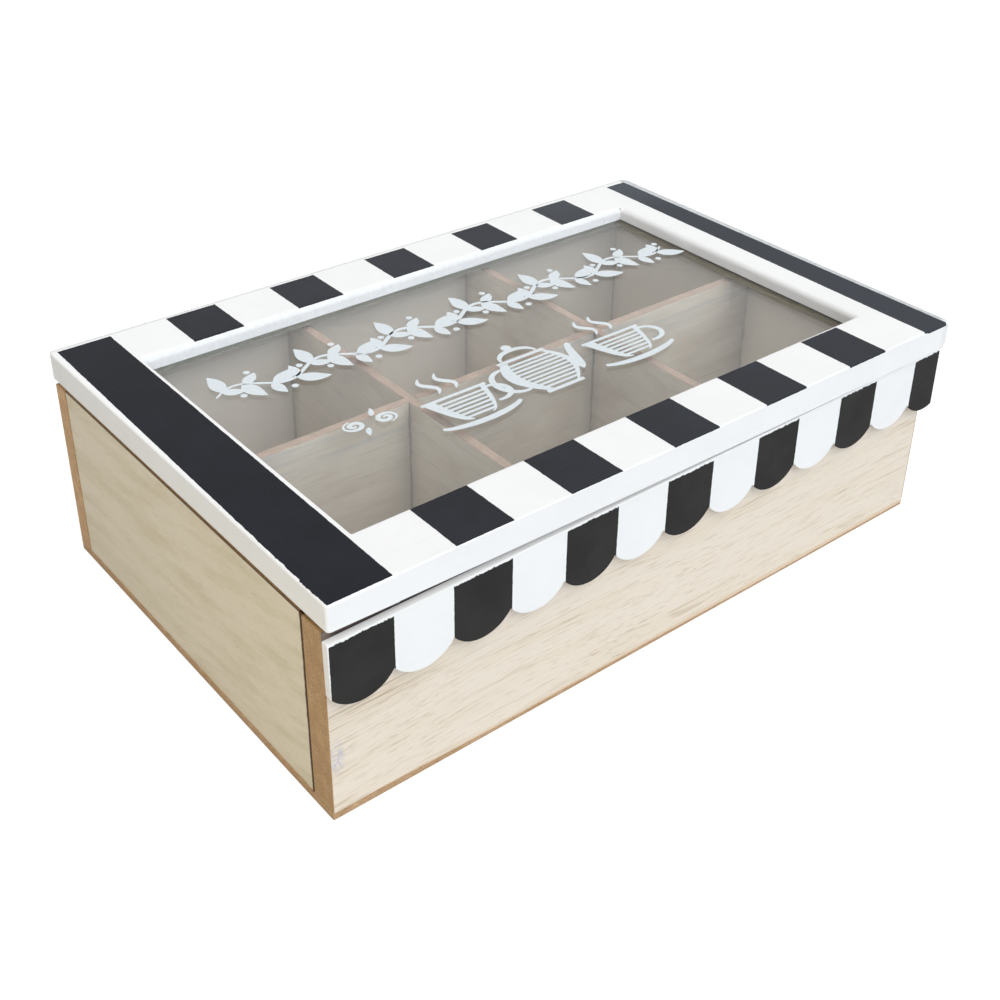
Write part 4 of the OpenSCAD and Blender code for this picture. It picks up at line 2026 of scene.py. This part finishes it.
@dataclass
class Studio:
    """The pale floor, the lamps and the camera.

    Attributes:
        eye: where the camera stands.
        turn: its rotation about X, Y and Z, in degrees.
        lens: its focal length, for a sensor 36 wide.
        shift: how far its frame is shifted.
        room: how strongly the room lights the box.
        reach: how far the floor reaches from the middle.
        lit: the colour of the floor as it lights the box.
        pale: the colour of the floor's shadows where it is seen, under its own glow.
        glow: how strongly the floor glows where it is seen.
    """

    eye: tuple[float, float, float] = (-0.255010, -0.312881, 0.286429)
    turn: tuple[float, float, float] = (59.88436, -1.23831, -39.73704)
    lens: float = 51.032
    shift: tuple[float, float] = (-0.034955, -0.104543)
    room: float = 0.46
    reach: float = 6.0
    lit: Colour = (0.44, 0.43, 0.41)
    pale: Colour = (0.22, 0.22, 0.22)
    glow: float = 0.88

    def camera(self) -> None:
        """Adds the camera."""
        data = bpy.data.cameras.new("camera")
        data.lens = self.lens
        data.sensor_width = 36.0
        data.sensor_fit = "HORIZONTAL"
        data.shift_x, data.shift_y = self.shift
        data.clip_start = 0.01
        camera = placed("camera", data)
        camera.location = self.eye
        camera.rotation_euler = [math.radians(a) for a in self.turn]
        bpy.context.scene.camera = camera

    def lamp(self, name: str, colour: Colour, power: float, toward: Colour, soft: float) -> None:
        """Adds one broad lamp, far away.

        Args:
            name: its name.
            colour: its colour.
            power: how much a white face turned to it gains, where 1 is white.
            toward: the direction that it stands in.
            soft: the angle that it covers, in degrees.
        """
        data = bpy.data.lights.new(name, "SUN")
        data.color = colour
        data.energy = power * math.pi
        data.angle = math.radians(soft)
        lamp = placed(name, data)
        x, y, z = toward
        lamp.rotation_euler = (math.atan2(math.hypot(x, y), z), 0.0, math.atan2(x, -y))

    def bulb(self, name: str, colour: Colour, watts: float, place: Colour, radius: float) -> None:
        """Adds one soft round lamp near the box.

        Args:
            name: its name.
            colour: its colour.
            watts: its power.
            place: where it hangs.
            radius: its radius.
        """
        data = bpy.data.lights.new(name, "POINT")
        data.color = colour
        data.energy = watts
        data.shadow_soft_size = radius
        bulb = placed(name, data)
        bulb.location = place
        bulb.visible_camera = False
        bulb.visible_glossy = False

    def world(self) -> None:
        """Lights the room evenly, and shows it as white where it is seen."""
        wiring = Wiring("studio", world=True)
        strength = wiring.add("ShaderNodeMapRange", {0: wiring.seen(), 3: self.room, 4: 1.0})
        inputs = {"Color": WHITE, "Strength": strength.outputs[0]}
        light = wiring.add("ShaderNodeBackground", inputs).outputs[0]
        wiring.add("ShaderNodeOutputWorld", {"Surface": light})
        bpy.context.scene.world = wiring.owner

    def floor(self) -> None:
        """Adds the floor, which shows as white with a faint shadow."""
        wiring = Wiring("studio_floor")
        glow = wiring.add("ShaderNodeEmission", {"Strength": self.glow}).outputs[0]
        shown = wiring.add("ShaderNodeAddShader", {0: wiring.diffuse(self.pale), 1: glow})
        surface = wiring.blend(wiring.seen(), wiring.diffuse(self.lit), shown.outputs[0])
        far = self.reach
        corners = [(-far, -far, 0), (far, -far, 0), (far, far, 0), (-far, far, 0)]
        mesh = bpy.data.meshes.new("floor")
        mesh.from_pydata(corners, [], [(0, 1, 2, 3)])
        mesh.materials.append(wiring.end(surface))
        floor = placed("floor", mesh)

    def build(self) -> None:
        """Sets up the studio."""
        self.camera()
        self.world()
        self.floor()
        self.lamp("key", WHITE, power=0.51, toward=(0.12, -0.50, 0.82), soft=50.0)
        self.lamp(
            "front_fill", (0.73, 0.85, 1.0), power=0.44, toward=(0.0, -1.0, 0.25), soft=60.0
        )
        self.lamp(
            "side_fill", (1.0, 0.93, 0.78), power=0.10, toward=(-0.60, -0.25, 0.75), soft=50.0
        )
        self.bulb(
            "side_glow", (1.0, 0.86, 0.55), watts=0.25, place=(-0.30, -0.10, 0.055), radius=0.06
        )
        bpy.context.scene.view_settings.view_transform = "Standard"


def main() -> None:
    """Builds the sub-assemblies in order."""
    logging.basicConfig(level=logging.INFO, format="%(message)s")
    for part in (Studio(), Carcass(), Awning(), Hinges(), LidFrame(), Glazing(), Ornament()):
        log.info("-- %s", type(part).__name__)
        part.build()


if __name__ == "__main__":
    main()
